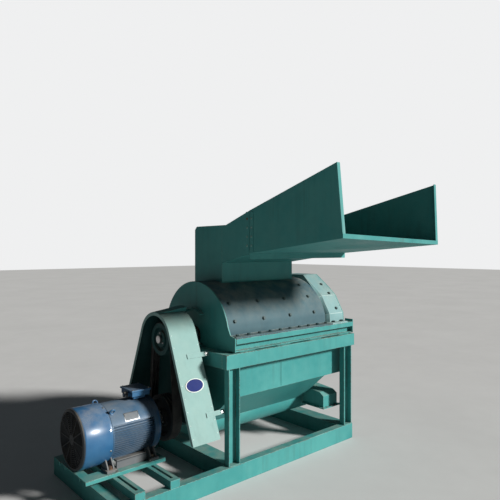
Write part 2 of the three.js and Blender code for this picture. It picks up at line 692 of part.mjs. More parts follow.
const TROUGH_OUTER = SCREW.trough + SHEET;
const uProfile = [
  ...arc(SCREW.y, SCREW.z, TROUGH_OUTER, 180, 360, 24),
  ...arc(SCREW.y, SCREW.z, SCREW.trough, 360, 180, 24),
];
const halfDisc = arc(SCREW.y, SCREW.z, TROUGH_OUTER, 180, 360, 24);
const trough = join(
  prismX(uProfile, DRUM.left - 5, SCREW.right),
  ringX(SCREW.trough, TROUGH_OUTER, HOPPER_RIGHT + GAP, SCREW.right, SCREW.y, SCREW.z, 48),
  cylinderX(TROUGH_OUTER, SCREW.right - PLATE, SCREW.right, SCREW.y, SCREW.z, 48),
  prismX(halfDisc, DRUM.left - SHEET, DRUM.left),
  cylinderX(55, SCREW.right - 3, SCREW.right + 30, SCREW.y, SCREW.z, 24),
  cylinderX(55, DRUM.left - 35, DRUM.left - 2, SCREW.y, SCREW.z, 24),
);
const outletHole = box(
  SPOUT.left + 15, SCREW.right - 20, 300, SCREW.y - 90, SPOUT.bottom + 12, SCREW.z + 20,
);
part("conveyor_trough", cut(trough, screwBore, outletHole), TEAL);

// The flight is a thick ribbon carried round the screw's axis while it advances along X.
const STEPS_PER_TURN = 16;
const flightLength = SCREW.right - 30 - (DRUM.left + 20);
const flightSteps = Math.round((flightLength / SCREW.pitch) * STEPS_PER_TURN);
const flightRings = Array.from({ length: flightSteps + 1 }, (_, i) => {
  const angle = degrees((360 * i) / STEPS_PER_TURN);
  const x = DRUM.left + 20 + (SCREW.pitch * i) / STEPS_PER_TURN;
  const at = (dx, radius) => [
    x + dx, SCREW.y + radius * Math.cos(angle), SCREW.z + radius * Math.sin(angle),
  ];
  const root = SCREW.shaft + 1;
  return corners([at(-3, root), at(3, root), at(3, SCREW.flight), at(-3, SCREW.flight)]);
});
part("conveyor_flight", loft(flightRings), RAW_STEEL);
part("conveyor_shaft", cylinderX(SCREW.shaft, 20, 1330, SCREW.y, SCREW.z, 24), RAW_STEEL);

const spoutRing = (shrink, drop, wallY) =>
  [
    [SPOUT.front + shrink, SPOUT.bottom - drop], [wallY, SPOUT.bottom - drop],
    [wallY, SPOUT.top - shrink], [SPOUT.front + 40 + shrink, SPOUT.top - 18 - shrink],
    [SPOUT.front + shrink, SPOUT.top - 45 - shrink],
  ];
const SPOUT_REAR = SCREW.y - TROUGH_OUTER - GAP;
part(
  "discharge_spout",
  cut(
    join(
      prismX(spoutRing(0, 0, SPOUT_REAR), SPOUT.left, SPOUT.right),
      box(SPOUT.left - 25, SPOUT.right + 25, SPOUT.front - 25, SPOUT_REAR, SPOUT.bottom, SPOUT.bottom + 6),
    ),
    prismX(spoutRing(SHEET, 10, SPOUT_REAR + 10), SPOUT.left + SHEET, SPOUT.right - SHEET),
  ),
  TEAL,
);

// ---- Belt drive -----------------------------------------------------------------------------

const PULLEY_WIDTH = PULLEY.grooves * PULLEY.groove + (PULLEY.grooves + 1) * PULLEY.land;
const grooveLeft = (i) => PULLEY.left + PULLEY.land + i * (PULLEY.groove + PULLEY.land);

function pulley(radius, bore, y, z) {
  const right = PULLEY.left + PULLEY_WIDTH;
  const rim = [[PULLEY.left, bore], [PULLEY.left, radius]];
  for (let i = 0; i < PULLEY.grooves; i += 1) {
    const x = grooveLeft(i);
    rim.push(
      [x, radius], [x + 2, radius - PULLEY.depth],
      [x + PULLEY.groove - 2, radius - PULLEY.depth], [x + PULLEY.groove, radius],
    );
  }
  rim.push([right, radius], [right, bore], [PULLEY.left, bore]);
  return turned(rim, y, z, 28);
}
part("driven_pulley", pulley(DRIVEN_PULLEY_RADIUS, 27 + GAP, AXIS.y, AXIS.z), TEAL);
part("motor_pulley", pulley(MOTOR_PULLEY_RADIUS, 27.5 + GAP, MOTOR.y, MOTOR.z), BLACK);

// The belt's loop round both pulleys, its contact arcs parted by the straight runs' slant.
const centres = AXIS.z - MOTOR.z;
const slant = (Math.asin((MOTOR_PULLEY_RADIUS - DRIVEN_PULLEY_RADIUS) / centres) * 180) / Math.PI;
const beltLoop = (lift) => [
  ...arc(AXIS.y, AXIS.z, DRIVEN_PULLEY_RADIUS + lift, slant, 180 - slant, 14),
  ...arc(MOTOR.y, MOTOR.z, MOTOR_PULLEY_RADIUS + lift, 180 - slant, 360 + slant, 18),
];
const BELT = { inner: -12, outer: 1.5, back: 5, clearance: 2.5, inset: 6 };
const beltRibs = Array.from({ length: PULLEY.grooves }, (_, i) => {
  const x0 = grooveLeft(i) + BELT.clearance;
  const x1 = grooveLeft(i + 1) - PULLEY.land - BELT.clearance;
  return prismX(beltLoop(BELT.outer), x0, x1, [beltLoop(BELT.inner)]);
});
const beltBack = prismX(
  beltLoop(BELT.back), PULLEY.left + BELT.inset, PULLEY.left + PULLEY_WIDTH - BELT.inset,
  [beltLoop(BELT.outer - 0.5)],
);
part("drive_belt", join(beltBack, ...beltRibs), RUBBER);

// The guard is an A-shaped band with folded edges, open towards the motor, with a back plate.
function guardPath(inset) {
  const radius = GUARD.radius - inset;
  const top = arc(GUARD.y, AXIS.z, radius, 180 - GUARD.splay, GUARD.splay, 22);
  const [startY, startZ] = top[0];
  const spread = (startZ - GUARD.foot) * Math.tan(degrees(GUARD.splay));
  return [[startY - spread, GUARD.foot], ...top, [2 * GUARD.y - startY + spread, GUARD.foot]];
}
const band = (inset, x0, x1) => prismX([...guardPath(0), ...guardPath(inset).reverse()], x0, x1);
const guardBack = prismX(guardPath(1), GUARD.right - GUARD.sheet, GUARD.right, [
  arc(AXIS.y, AXIS.z, HUB_RADIUS, 0, 345, 23),
]);
// Two stays are welded across the band's front face and reach the frame.
const STAYS = [[-200, RAIL.left - GAP, 870], [-150, LEG.leftAt - GAP, 495]];
const stays = STAYS.map(([x0, x1, z]) => {
  const [startY, startZ] = guardPath(0)[1];
  const y = startY - (startZ - z) * Math.tan(degrees(GUARD.splay));
  return box(x0, x1, -6, 1, -16, 16).rotateX(degrees(-GUARD.splay)).translate(0, y, z);
});
part(
  "belt_guard",
  join(
    band(GUARD.sheet, GUARD.left, GUARD.right),
    band(24, GUARD.left, GUARD.left + GUARD.sheet),
    guardBack,
    ...stays,
  ),
  MINT,
);

// ---- Motor on its slide ---------------------------------------------------------------------

const railTop = SKID.height + GAP + SLIDE_RAIL.height;
for (const [side, at] of [["left", SLIDE_RAIL.at[0]], ["right", SLIDE_RAIL.at[1]]]) {
  const half = SLIDE_RAIL.width / 2;
  const profile = flatChannelProfile(at - half, at + half, SKID.height + GAP, railTop, PLATE);
  const slots = [[30, 455], [505, 930]].map(([y0, y1]) =>
    box(at - 8, at + 8, y0, y1, railTop - 20, railTop + 5),
  );
  part(`slide_rail_${side}`, cut(prismY(profile, SKID.front, SKID.rear), ...slots), TEAL);
}

const BASE = { left: -890, right: -330, half: 50, low: railTop + GAP, high: FEET.base, thick: 7 };
const beamAt = (y) => {
  const profile = flatChannelProfile(y - BASE.half, y + BASE.half, BASE.low, BASE.high, BASE.thick);
  return prismX(profile, BASE.left, BASE.right);
};
const TIE_WIDTH = 60;
const tieAt = (x) =>
  box(
    x, x + TIE_WIDTH, MOTOR.y - FEET.spacing / 2, MOTOR.y + FEET.spacing / 2,
    BASE.high - BASE.thick, BASE.high,
  );
part(
  "motor_base",
  join(
    beamAt(MOTOR.y - FEET.spacing / 2), beamAt(MOTOR.y + FEET.spacing / 2),
    tieAt(BASE.left), tieAt(BASE.right - TIE_WIDTH),
  ),
  TEAL,
);

const FIN_COUNT = 30;
const finProfile = Array.from({ length: FIN_COUNT }, (_, i) => {
  const step = 360 / FIN_COUNT;
  const at = (radius, share) => arc(MOTOR.y, MOTOR.z, radius, step * (i + share), 0, 1)[0];
  return [at(MOTOR.core, 0), at(MOTOR.radius, 0.06), at(MOTOR.radius, 0.36), at(MOTOR.core, 0.42)];
}).flat();
const motorBore = arc(MOTOR.y, MOTOR.z, 150, 0, 345, 23);
// A foot rail runs along each side: a plate, an upright skirt along its middle and two ribs to the barrel.
const footBlocks = [];
for (const side of [-1, 1]) {
  const span = (near, far) => [MOTOR.y + side * near, MOTOR.y + side * far].toSorted((a, b) => a - b);
  const base = FEET.base + GAP;
  const plateTop = FEET.base + FEET.thick;
  footBlocks.push(box(FEET.rearX - 30, FEET.frontX + 30, ...span(90, 195), base, plateTop));
  footBlocks.push(box(FEET.rearX + 60, FEET.frontX - 50, ...span(150, 160), base, plateTop + 32));
  for (const x of [MOTOR.rear, FEET.frontX - 10]) {
    footBlocks.push(box(x, x + 25, ...span(95, 130), FEET.base + 5, MOTOR.z - 110));
  }
}
part(
  "motor_frame",
  join(
    prismX(finProfile, MOTOR.rear, MOTOR.front, [motorBore]),
    ringX(28, 155, MOTOR.rear, MOTOR.rear + 10, MOTOR.y, MOTOR.z, 24),
    new THREE.TorusGeometry(26, 7, 8, 16).translate(-640, MOTOR.z + MOTOR.radius + 20, -MOTOR.y)
      .rotateX(Math.PI / 2),
    ...footBlocks,
  ),
  BLUE,
);
part(
  "motor_end_shield",
  turned(
    [
      [MOTOR.front + GAP, 33], [MOTOR.front + GAP, 182], [MOTOR.front + 22, 182],
      [MOTOR.front + 45, 120], [MOTOR.nose, 70], [MOTOR.nose, 33], [MOTOR.front + GAP, 33],
    ],
    MOTOR.y, MOTOR.z, 32,
  ),
  BLUE,
);
const cowlFront = MOTOR.rear - GAP;
const cowlSlots = [];
for (let i = 0; i < 12; i += 1) {
  const slot = box(COWL.rear - 5, COWL.rear + 6, -6, 6, 55, 150);
  cowlSlots.push(slot.rotateX(degrees(30 * i)).translate(0, MOTOR.y, MOTOR.z));
}
part(
  "motor_fan_cowl",
  cut(
    turned(
      [
        [COWL.rear, 0], [COWL.rear, COWL.radius - 14], [COWL.rear + 10, COWL.radius],
        [cowlFront, COWL.radius], [cowlFront, COWL.radius - 4], [COWL.rear + 12, COWL.radius - 4],
        [COWL.rear + 4, COWL.radius - 16], [COWL.rear + 4, 0],
      ],
      MOTOR.y, MOTOR.z, 40,
    ),
    ...cowlSlots,
  ),
  BLUE,
);
const fanBlades = Array.from({ length: 6 }, (_, i) =>
  box(-850, -805, -3, 3, 25, 150).rotateX(degrees(60 * i)).translate(0, MOTOR.y, MOTOR.z),
);
part(
  "motor_fan",
  join(ringX(20 + GAP, 34, -855, -790, MOTOR.y, MOTOR.z, 24), ...fanBlades),
  BLACK,
);
part(
  "motor_shaft",
  turned(
    [
      [-870, 0], [-870, 20], [MOTOR.rear, 20], [MOTOR.rear, 25], [-650, 25], [-650, 95],
      [-420, 95], [-420, 30], [MOTOR.nose, 30], [MOTOR.nose, 27.5], [-135, 27.5], [-135, 0],
    ],
    MOTOR.y, MOTOR.z, 24,
  ),
  RAW_STEEL,
);
const BOX = { left: -515, right: -368, low: MOTOR.z + MOTOR.radius + 1, high: 642 };
part(
  "terminal_box",
  join(
    box(BOX.left + 30, BOX.right - 30, MOTOR.y - 55, MOTOR.y + 55, BOX.low, BOX.low + 30),
    box(BOX.left + 8, BOX.right - 8, MOTOR.y - 78, MOTOR.y + 78, BOX.low + 22, BOX.high),
    cylinderX(16, BOX.left - 26, BOX.left + 12, MOTOR.y - 20, 622, 16),
  ),
  BLUE,
);
part(
  "terminal_lid",
  box(BOX.left, BOX.right, MOTOR.y - 86, MOTOR.y + 86, BOX.high + GAP, BOX.high + 12),
  GREY,
);

const assembly = new THREE.Group();
assembly.add(machine);
export default assembly;
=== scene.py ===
"""Looks of a belt-driven hammer mill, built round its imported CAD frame.

The frame gives every place and size. Each class below dresses one sub-assembly: it gives the carried-over
parts their finishes and adds the pieces that the frame leaves out, such as bolts, weld beads and grilles.
Lengths are in metres, in the frame's own axes: +X along the shafts, -Y towards the feeding side, +Z up.
"""

import json
import logging
import math
from collections.abc import Sequence
from dataclasses import dataclass, field
from enum import Enum

import bmesh
import bpy
import numpy as np
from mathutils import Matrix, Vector


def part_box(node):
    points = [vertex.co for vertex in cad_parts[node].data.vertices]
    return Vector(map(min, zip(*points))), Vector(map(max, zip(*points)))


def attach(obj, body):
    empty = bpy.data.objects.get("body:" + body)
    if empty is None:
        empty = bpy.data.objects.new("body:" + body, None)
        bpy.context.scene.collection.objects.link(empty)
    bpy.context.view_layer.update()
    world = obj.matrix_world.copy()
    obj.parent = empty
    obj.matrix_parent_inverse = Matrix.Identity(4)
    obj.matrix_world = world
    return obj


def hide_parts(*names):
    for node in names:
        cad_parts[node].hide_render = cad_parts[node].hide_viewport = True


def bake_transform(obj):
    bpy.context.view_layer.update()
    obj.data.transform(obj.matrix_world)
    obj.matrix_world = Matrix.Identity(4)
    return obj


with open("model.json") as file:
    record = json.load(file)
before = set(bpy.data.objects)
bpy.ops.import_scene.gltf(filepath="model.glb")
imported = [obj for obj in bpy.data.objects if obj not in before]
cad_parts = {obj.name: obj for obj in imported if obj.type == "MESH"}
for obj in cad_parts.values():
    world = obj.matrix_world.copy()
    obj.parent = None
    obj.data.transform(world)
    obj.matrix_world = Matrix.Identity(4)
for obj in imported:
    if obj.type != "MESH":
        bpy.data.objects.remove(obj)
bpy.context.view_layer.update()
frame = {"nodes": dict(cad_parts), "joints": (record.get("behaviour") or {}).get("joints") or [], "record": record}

log = logging.getLogger("hammer_mill")
logging.basicConfig(level=logging.INFO, format="%(name)s: %(message)s")

Colour = tuple[float, float, float]
Point = tuple[float, float, float]
Mesh = tuple[np.ndarray, list[list[int]]]
Seats = list[tuple[Point, Point]]
Runs = list[tuple[Point, Point, Point]]
TAU = 2.0 * math.pi
UP: Point = (0.0, 0.0, 1.0)
RIGHT: Point = (1.0, 0.0, 0.0)
LEFT: Point = (-1.0, 0.0, 0.0)
FRONT: Point = (0.0, -1.0, 0.0)
REAR: Point = (0.0, 1.0, 0.0)


class Body(str, Enum):
    """The rigid bodies of the frame that pieces ride on."""

    FRAME = "frame"
    ROTOR = "rotor"
    MOTOR = "motor"
    MOTOR_ROTOR = "motor_rotor"
    SCREW = "screw"


def node_box(name: str) -> tuple[np.ndarray, np.ndarray]:
    """Gives a frame node's box.

    Args:
        name: The node's name.

    Returns:
        Its lowest and highest corner.
    """
    low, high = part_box(name)
    return np.array(low), np.array(high)


def joint_point(name: str) -> np.ndarray:
    """Gives the point that a hinge turns about, from the frame's record."""
    return np.array(next(j["pos_m"] for j in frame["joints"] if j["name"] == name))


# ---- Meshes ---------------------------------------------------------------------------------


def make_piece(
    name: str,
    verts: np.ndarray,
    faces: Sequence[Sequence[int]] | np.ndarray,
    material: bpy.types.Material,
    body: Body | None,
    smooth: bool = True,
) -> bpy.types.Object:
    """Makes one finished piece with its place in its mesh.

    Args:
        name: The piece's name.
        verts: An (n, 3) array of points.
        faces: Corner lists that point outwards.
        material: The piece's finish.
        body: The body that it rides on, or None for scenery.
        smooth: Whether its faces are shaded smooth.

    Returns:
        The new object.
    """
    mesh = bpy.data.meshes.new(name)
    mesh.from_pydata(np.asarray(verts, float).tolist(), [], [list(map(int, f)) for f in faces])
    mesh.polygons.foreach_set("use_smooth", np.full(len(mesh.polygons), smooth))
    mesh.materials.append(material)
    mesh.update()
    piece = bpy.data.objects.new(name, mesh)
    bpy.context.scene.collection.objects.link(piece)
    if body is not None:
        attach(piece, body.value)
        log.info("%s rides on %s", name, body.value)
    return piece


def facing_out(verts: np.ndarray, faces: Sequence[Sequence[int]]) -> list[list[int]]:
    """Turns a closed surface's faces outwards.

    The sum of each fan triangle's a . (b x c) is six times the volume, and is negative when they point in.

    Args:
        verts: The surface's points.
        faces: Its corner lists, all wound the same way.

    Returns:
        The corner lists, reversed if they pointed in.
    """
    lists = [list(map(int, face)) for face in faces]
    fans = np.array([(f[0], f[i], f[i + 1]) for f in lists for i in range(1, len(f) - 1)])
    a, b, c = (verts[fans[:, k]] for k in range(3))
    if float(np.einsum("ij,ij->", a, np.cross(b, c))) < 0.0:
        return [face[::-1] for face in lists]
    return lists


def grid_faces(rows: int, columns: int, wrap_rows: bool, wrap_columns: bool) -> np.ndarray:
    """Quads over a grid of points stored row by row.

    Args:
        rows: Number of rows of points.
        columns: Number of points in a row.
        wrap_rows: Whether the last row joins the first.
        wrap_columns: Whether the last column joins the first.

    Returns:
        An (m, 4) array of corner numbers.
    """
    r = np.arange(rows if wrap_rows else rows - 1)[:, None]
    c = np.arange(columns if wrap_columns else columns - 1)[None, :]
    r2, c2 = (r + 1) % rows, (c + 1) % columns
    quads = np.stack([r * columns + c, r * columns + c2, r2 * columns + c2, r2 * columns + c], axis=-1)
    return quads.reshape(-1, 4)


def frames_along(path: np.ndarray, up: Point, closed: bool = False) -> tuple[np.ndarray, np.ndarray]:
    """Side and top directions along a path: across it and level with up, and square to both.

    Args:
        path: An (n, 3) array of points.
        up: The direction that the section's top leans to.
        closed: Whether the path joins its start.

    Returns:
        Two (n, 3) arrays of unit vectors.
    """
    if closed:
        run = np.roll(path, -1, axis=0) - np.roll(path, 1, axis=0)
    else:
        run = np.gradient(path, axis=0)
    run /= np.linalg.norm(run, axis=1, keepdims=True)
    side = np.cross(run, np.asarray(up, float))
    side /= np.linalg.norm(side, axis=1, keepdims=True)
    return side, np.cross(side, run)


def sweep(
    path: np.ndarray, section: np.ndarray, up: Point, closed: bool = False, scale: np.ndarray | None = None
) -> Mesh:
    """Carries a closed section along a path: point = path + side * a + top * b for each section point (a, b).

    Args:
        path: An (n, 3) array of points.
        section: An (m, 2) array of section points, anticlockwise seen from the path's start.
        up: The direction that the section's top leans to.
        closed: Whether the path joins its start; otherwise its ends are capped.
        scale: The section's size at each path point, 1 where left out.

    Returns:
        The points and the faces.
    """
    side, top = frames_along(path, up, closed)
    size = np.ones(len(path)) if scale is None else scale
    offset = section[None, :, 0:1] * side[:, None, :] + section[None, :, 1:2] * top[:, None, :]
    verts = (path[:, None, :] + size[:, None, None] * offset).reshape(-1, 3)
    count = len(section)
    faces = grid_faces(len(path), count, closed, True)[:, ::-1].tolist()
    if not closed:
        faces.append(list(range(count)))
        last = (len(path) - 1) * count
        faces.append(list(range(last + count - 1, last - 1, -1)))
    return verts, facing_out(verts, faces)


def turned(
    profile: Sequence[tuple[float, float]], centre: np.ndarray, segments: int = 64
) -> Mesh:
    """Revolves a closed profile round the X axis through a centre: (x, r) goes to (x, r cos t, r sin t).

    Args:
        profile: A closed loop of (x, radius), clockwise with x to the right and radius up.
        centre: A point on the axis.
        segments: Number of steps round the axis.

    Returns:
        The points and the quads.
    """
    loop = np.array(profile, float)
    turn = np.linspace(0.0, TAU, segments, endpoint=False)
    x = np.broadcast_to(loop[None, :, 0], (segments, len(loop)))
    y = loop[None, :, 1] * np.cos(turn)[:, None]
    z = loop[None, :, 1] * np.sin(turn)[:, None]
    verts = np.stack([x, y, z], axis=-1).reshape(-1, 3) + np.array([0.0, centre[1], centre[2]])
    return verts, facing_out(verts, grid_faces(segments, len(loop), True, True))


def merged(parts: Sequence[tuple[np.ndarray, Sequence[Sequence[int]]]]) -> Mesh:
    """Joins several meshes into one.

    Args:
        parts: Each mesh's points and faces.

    Returns:
        The points and the faces.
    """
    verts: list[np.ndarray] = []
    faces: list[list[int]] = []
    start = 0
    for points, corners in parts:
        faces.extend([[int(i) + start for i in face] for face in corners])
        verts.append(np.asarray(points, float))
        start += len(points)
    return np.concatenate(verts), faces


def block(low: Sequence[float], high: Sequence[float]) -> Mesh:
    """A box's eight corners and six faces, each corner the low or high value along each axis."""
    bits = np.array([[i & 1, i >> 1 & 1, i >> 2 & 1] for i in range(8)], float)
    verts = np.asarray(low) + bits * (np.asarray(high) - np.asarray(low))
    faces = [[0, 2, 3, 1], [4, 5, 7, 6], [0, 1, 5, 4], [2, 6, 7, 3], [0, 4, 6, 2], [1, 3, 7, 5]]
    return verts, facing_out(verts, faces)


def prism_along_x(outline: np.ndarray, x0: float, x1: float) -> Mesh:
    """A prism between two X values over a closed outline of (y, z) points.

    Args:
        outline: An (n, 2) array of points.
        x0: Its first end.
        x1: Its other end.

    Returns:
        The points and the faces.
    """
    count = len(outline)
    ends = np.repeat([x0, x1], count)[:, None]
    verts = np.concatenate([ends, np.tile(outline, (2, 1))], axis=1)
    faces = grid_faces(2, count, False, True).tolist()
    faces.append(list(range(count - 1, -1, -1)))
    faces.append(list(range(count, 2 * count)))
    return verts, facing_out(verts, faces)


def sheet_between(first: np.ndarray, second: np.ndarray, thick: float) -> Mesh:
    """A thin closed sheet ruled between two rows of points, thickened along its own normals.

    Args:
        first: An (n, 3) array of points along one edge.
        second: The matching points along the other edge.
        thick: The sheet's thickness, added on the side that its normals point to.

    Returns:
        The points and the faces.
    """
    run = np.gradient(first, axis=0)
    normal = np.cross(run, second - first)
    normal /= np.linalg.norm(normal, axis=1, keepdims=True)
    rows = np.stack([first, second, second + thick * normal, first + thick * normal])
    count = len(first)
    verts = rows.reshape(-1, 3)
    faces = grid_faces(4, count, True, False).tolist()
    start = [row * count for row in range(4)]
    faces.append(start)
    faces.append([at + count - 1 for at in reversed(start)])
    return verts, facing_out(verts, faces)


def arc_points(centre: Sequence[float], radius: float, first: float, last: float, count: int) -> np.ndarray:
    """Points of an arc in the Y-Z plane between two angles in degrees from +Y: (y, z) pairs."""
    turn = np.radians(np.linspace(first, last, count))
    return np.stack([centre[0] + radius * np.cos(turn), centre[1] + radius * np.sin(turn)], axis=1)


def bevelled(piece: bpy.types.Object, width: float, segments: int = 2) -> bpy.types.Object:
    """Rounds a piece's sharp edges with a live bevel of one width.

    Args:
        piece: The piece.
        width: The bevel's width.
        segments: Number of steps across the bevel.

    Returns:
        The same piece.
    """
    bevel = piece.modifiers.new("round_edges", "BEVEL")
    bevel.width = width
    bevel.segments = segments
    bevel.limit_method = "ANGLE"
    bevel.angle_limit = math.radians(35)
    bevel.harden_normals = True
    return piece


@dataclass(frozen=True)
class BoltSize:
    """A hexagon bolt with its washer, sized by the distance across its corners."""

    across: float = 0.022
    head: float = 0.009
    washer: float = 0.016
    washer_thick: float = 0.0025

    def mesh(self, at: Point, normal: Point) -> Mesh:
        """Rings of points from the washer's foot to the head's chamfered top, each a circle or hexagon.

        Args:
            at: Where the bolt's seat lies.
            normal: The way its head points.

        Returns:
            The points and faces of one bolt.
        """
        axis = np.asarray(normal, float) / np.linalg.norm(normal)
        helper = np.array([0.0, 0.0, 1.0]) if abs(axis[2]) < 0.9 else np.array([1.0, 0.0, 0.0])
        side = np.cross(helper, axis)
        side /= np.linalg.norm(side)
        other = np.cross(axis, side)
        hexagon = self.across / 2
        rings = [
            (0.0, self.washer), (self.washer_thick, self.washer), (self.washer_thick, hexagon),
            (self.head - 0.0015, hexagon), (self.head, hexagon * 0.86),
        ]
        turn = np.linspace(0.0, TAU, 12, endpoint=False)
        flats = 1.0 - 0.067 * (1.0 - np.cos(6 * turn))
        verts = np.concatenate([
            np.asarray(at, float)
            + axis * height
            + radius
            * (flats if i >= 2 else np.ones(12))[:, None]
            * (np.cos(turn)[:, None] * side + np.sin(turn)[:, None] * other)
            for i, (height, radius) in enumerate(rings)
        ])
        faces = grid_faces(len(rings), 12, False, True).tolist()
        faces.append(list(range(48, 60)))
        faces.append(list(range(11, -1, -1)))
        return verts, facing_out(verts, faces)


def bolt_group(
    name: str, places: Sequence[tuple[Point, Point]], size: BoltSize, material: bpy.types.Material,
    body: Body
) -> bpy.types.Object:
    """Makes one piece from many equal bolts.

    Args:
        name: The piece's name.
        places: Seat and head direction of each bolt.
        size: The bolts' size.
        material: Their finish.
        body: The body that they ride on.

    Returns:
        The new object.
    """
    verts, faces = merged([size.mesh(at, normal) for at, normal in places])
    return make_piece(name, verts, faces, material, body, smooth=False)


def weld_bead(
    start: Point, end: Point, up: Point, radius: float = 0.004
) -> Mesh:
    """A weld bead: a round section whose radius swells by a rectified sine once for each 6 mm of its run.

    Args:
        start: The bead's first end.
        end: Its other end.
        up: The way it stands out of the corner.
        radius: Its mean radius.

    Returns:
        The points and the faces.
    """
    length = float(np.linalg.norm(np.subtract(end, start)))
    count = max(6, int(length / 0.003))
    share = np.linspace(0.0, 1.0, count)
    path = np.asarray(start, float) + share[:, None] * np.subtract(end, start)
    turn = np.linspace(0.0, TAU, 7, endpoint=False)
    section = radius * np.stack([np.cos(turn), np.sin(turn)], axis=1)
    ripple = 0.86 + 0.22 * np.abs(np.sin(share * length / 0.006 * math.pi))
    wander = 1.0 + 0.10 * np.sin(share * length * 41.0)
    return sweep(path, section, up, scale=ripple * wander)


# ---- Finishes -------------------------------------------------------------------------------


class Tree:
    """A short way to add and link nodes in one node tree."""

    def __init__(self, tree: bpy.types.NodeTree) -> None:
        """Keeps the node tree that the nodes go into."""
        self.tree = tree

    def into(self, shader: bpy.types.Node, socket: str, value: bpy.types.NodeSocket) -> None:
        """Feeds a value into one of a shader's inputs."""
        self.tree.links.new(value, shader.inputs[socket])

    def add(
        self, kind: str, inputs: dict[str | int, object] | None = None, **settings: object
    ) -> bpy.types.Node:
        """Adds a node.

        Args:
            kind: The node's type name.
            inputs: Socket values, or the output socket that feeds each.
            **settings: The node's own properties.

        Returns:
            The new node.
        """
        node = self.tree.nodes.new(kind)
        for key, value in settings.items():
            setattr(node, key, value)
        for key, value in (inputs or {}).items():
            if isinstance(value, bpy.types.NodeSocket):
                self.tree.links.new(value, node.inputs[key])
            else:
                node.inputs[key].default_value = value
        return node

    def math(self, operation: str, *values: object, clamp: bool = False) -> bpy.types.NodeSocket:
        """One Math node's result."""
        node = self.add("ShaderNodeMath", dict(enumerate(values)), operation=operation, use_clamp=clamp)
        return node.outputs[0]

    def blend(self, share: object, first: object, second: object) -> bpy.types.NodeSocket:
        """A colour between two colours."""
        pair = {0: share, 6: first, 7: second}
        return self.add("ShaderNodeMix", pair, data_type="RGBA").outputs[2]

    def band(
        self, value: object, low: float, high: float, start: float = 0.0, end: float = 1.0
    ) -> bpy.types.NodeSocket:
        """A value carried from one range to another and held at its ends."""
        node = self.add("ShaderNodeMapRange", {0: value, 1: low, 2: high, 3: start, 4: end})
        return node.outputs[0]

    def noise(
        self, where: object, scale: object, detail: float = 3.0, roughness: float = 0.55
    ) -> bpy.types.NodeSocket:
        """Fractal noise at a scale in cells per metre."""
        values = {"Vector": where, "Scale": scale, "Detail": detail, "Roughness": roughness}
        return self.add("ShaderNodeTexNoise", values).outputs[0]

    def stretched(self, where: object, scale: Point) -> bpy.types.NodeSocket:
        """Coordinates drawn out along some axes."""
        return self.add("ShaderNodeMapping", {"Vector": where, "Scale": scale}).outputs[0]


def effect_group(
    name: str, inputs: dict[str, float], output: str
) -> tuple[bpy.types.NodeTree, Tree, dict, bpy.types.NodeSocket]:
    """Starts a node group that works on Object coordinates and gives one value.

    Args:
        name: The group's name.
        inputs: Its number inputs and their starting values.
        output: Its one output's name.

    Returns:
        The group, a Tree for it, its inputs' sockets by name, and the place that its result goes.
    """
    group = bpy.data.node_groups.new(name, "ShaderNodeTree")
    for label, value in inputs.items():
        socket = group.interface.new_socket(label, in_out="INPUT", socket_type="NodeSocketFloat")
        socket.default_value = value
    group.interface.new_socket(output, in_out="OUTPUT", socket_type="NodeSocketFloat")
    tree = Tree(group)
    given = tree.add("NodeGroupInput")
    result = tree.add("NodeGroupOutput")
    sockets = {label: given.outputs[label] for label in inputs}
    sockets["where"] = tree.add("ShaderNodeTexCoord").outputs["Object"]
    return group, tree, sockets, result.inputs[output]


def patchy_group() -> bpy.types.NodeTree:
    """Uneven paint film: broad noise plus finer noise at seven times the scale, spread to 0..1.

    Returns:
        The group.
    """
    group, tree, given, out = effect_group("patchy_film", {"Scale": 2.5}, "Patch")
    broad = tree.noise(given["where"], given["Scale"], 4.0)
    fine = tree.noise(given["where"], tree.math("MULTIPLY", given["Scale"], 7.0), 3.0)
    both = tree.math("ADD", tree.math("MULTIPLY", broad, 0.7), tree.math("MULTIPLY", fine, 0.3))
    group.links.new(tree.band(both, 0.36, 0.64), out)
    return group


def dust_group() -> bpy.types.NodeTree:
    """Settled dust: more where a face looks up, broken by noise at two scales, times the amount.

    Returns:
        The group.
    """
    group, tree, given, out = effect_group("settled_dust", {"Amount": 0.5, "Grain": 9.0}, "Dust")
    normal = tree.add("ShaderNodeNewGeometry").outputs["Normal"]
    up = tree.add("ShaderNodeSeparateXYZ", {0: normal}).outputs[2]
    lying = tree.band(up, 0.25, 0.95, 0.05, 1.0)
    cloud = tree.band(tree.noise(given["where"], given["Grain"], 5.0, 0.6), 0.35, 0.62)
    speck = tree.band(tree.noise(given["where"], 420.0, 2.0), 0.42, 0.60, 0.45, 1.0)
    mask = tree.math("MULTIPLY", tree.math("MULTIPLY", lying, cloud), speck)
    group.links.new(tree.math("MULTIPLY", mask, given["Amount"], clamp=True), out)
    return group


def chip_group() -> bpy.types.NodeTree:
    """Chipped paint: fine noise plus a broad noise that gathers the chips, kept where it passes a limit.

    Returns:
        The group.
    """
    group, tree, given, out = effect_group("chipped_paint", {"Amount": 0.2, "Scale": 90.0}, "Chip")
    fine = tree.noise(given["where"], given["Scale"], 6.0, 0.65)
    broad = tree.noise(given["where"], 6.0, 2.0)
    both = tree.math("ADD", tree.math("MULTIPLY", fine, 0.65), tree.math("MULTIPLY", broad, 0.35))
    limit = tree.math("SUBTRACT", 0.78, tree.math("MULTIPLY", given["Amount"], 0.36))
    group.links.new(tree.math("MULTIPLY", tree.math("SUBTRACT", both, limit), 45.0, clamp=True), out)
    return group


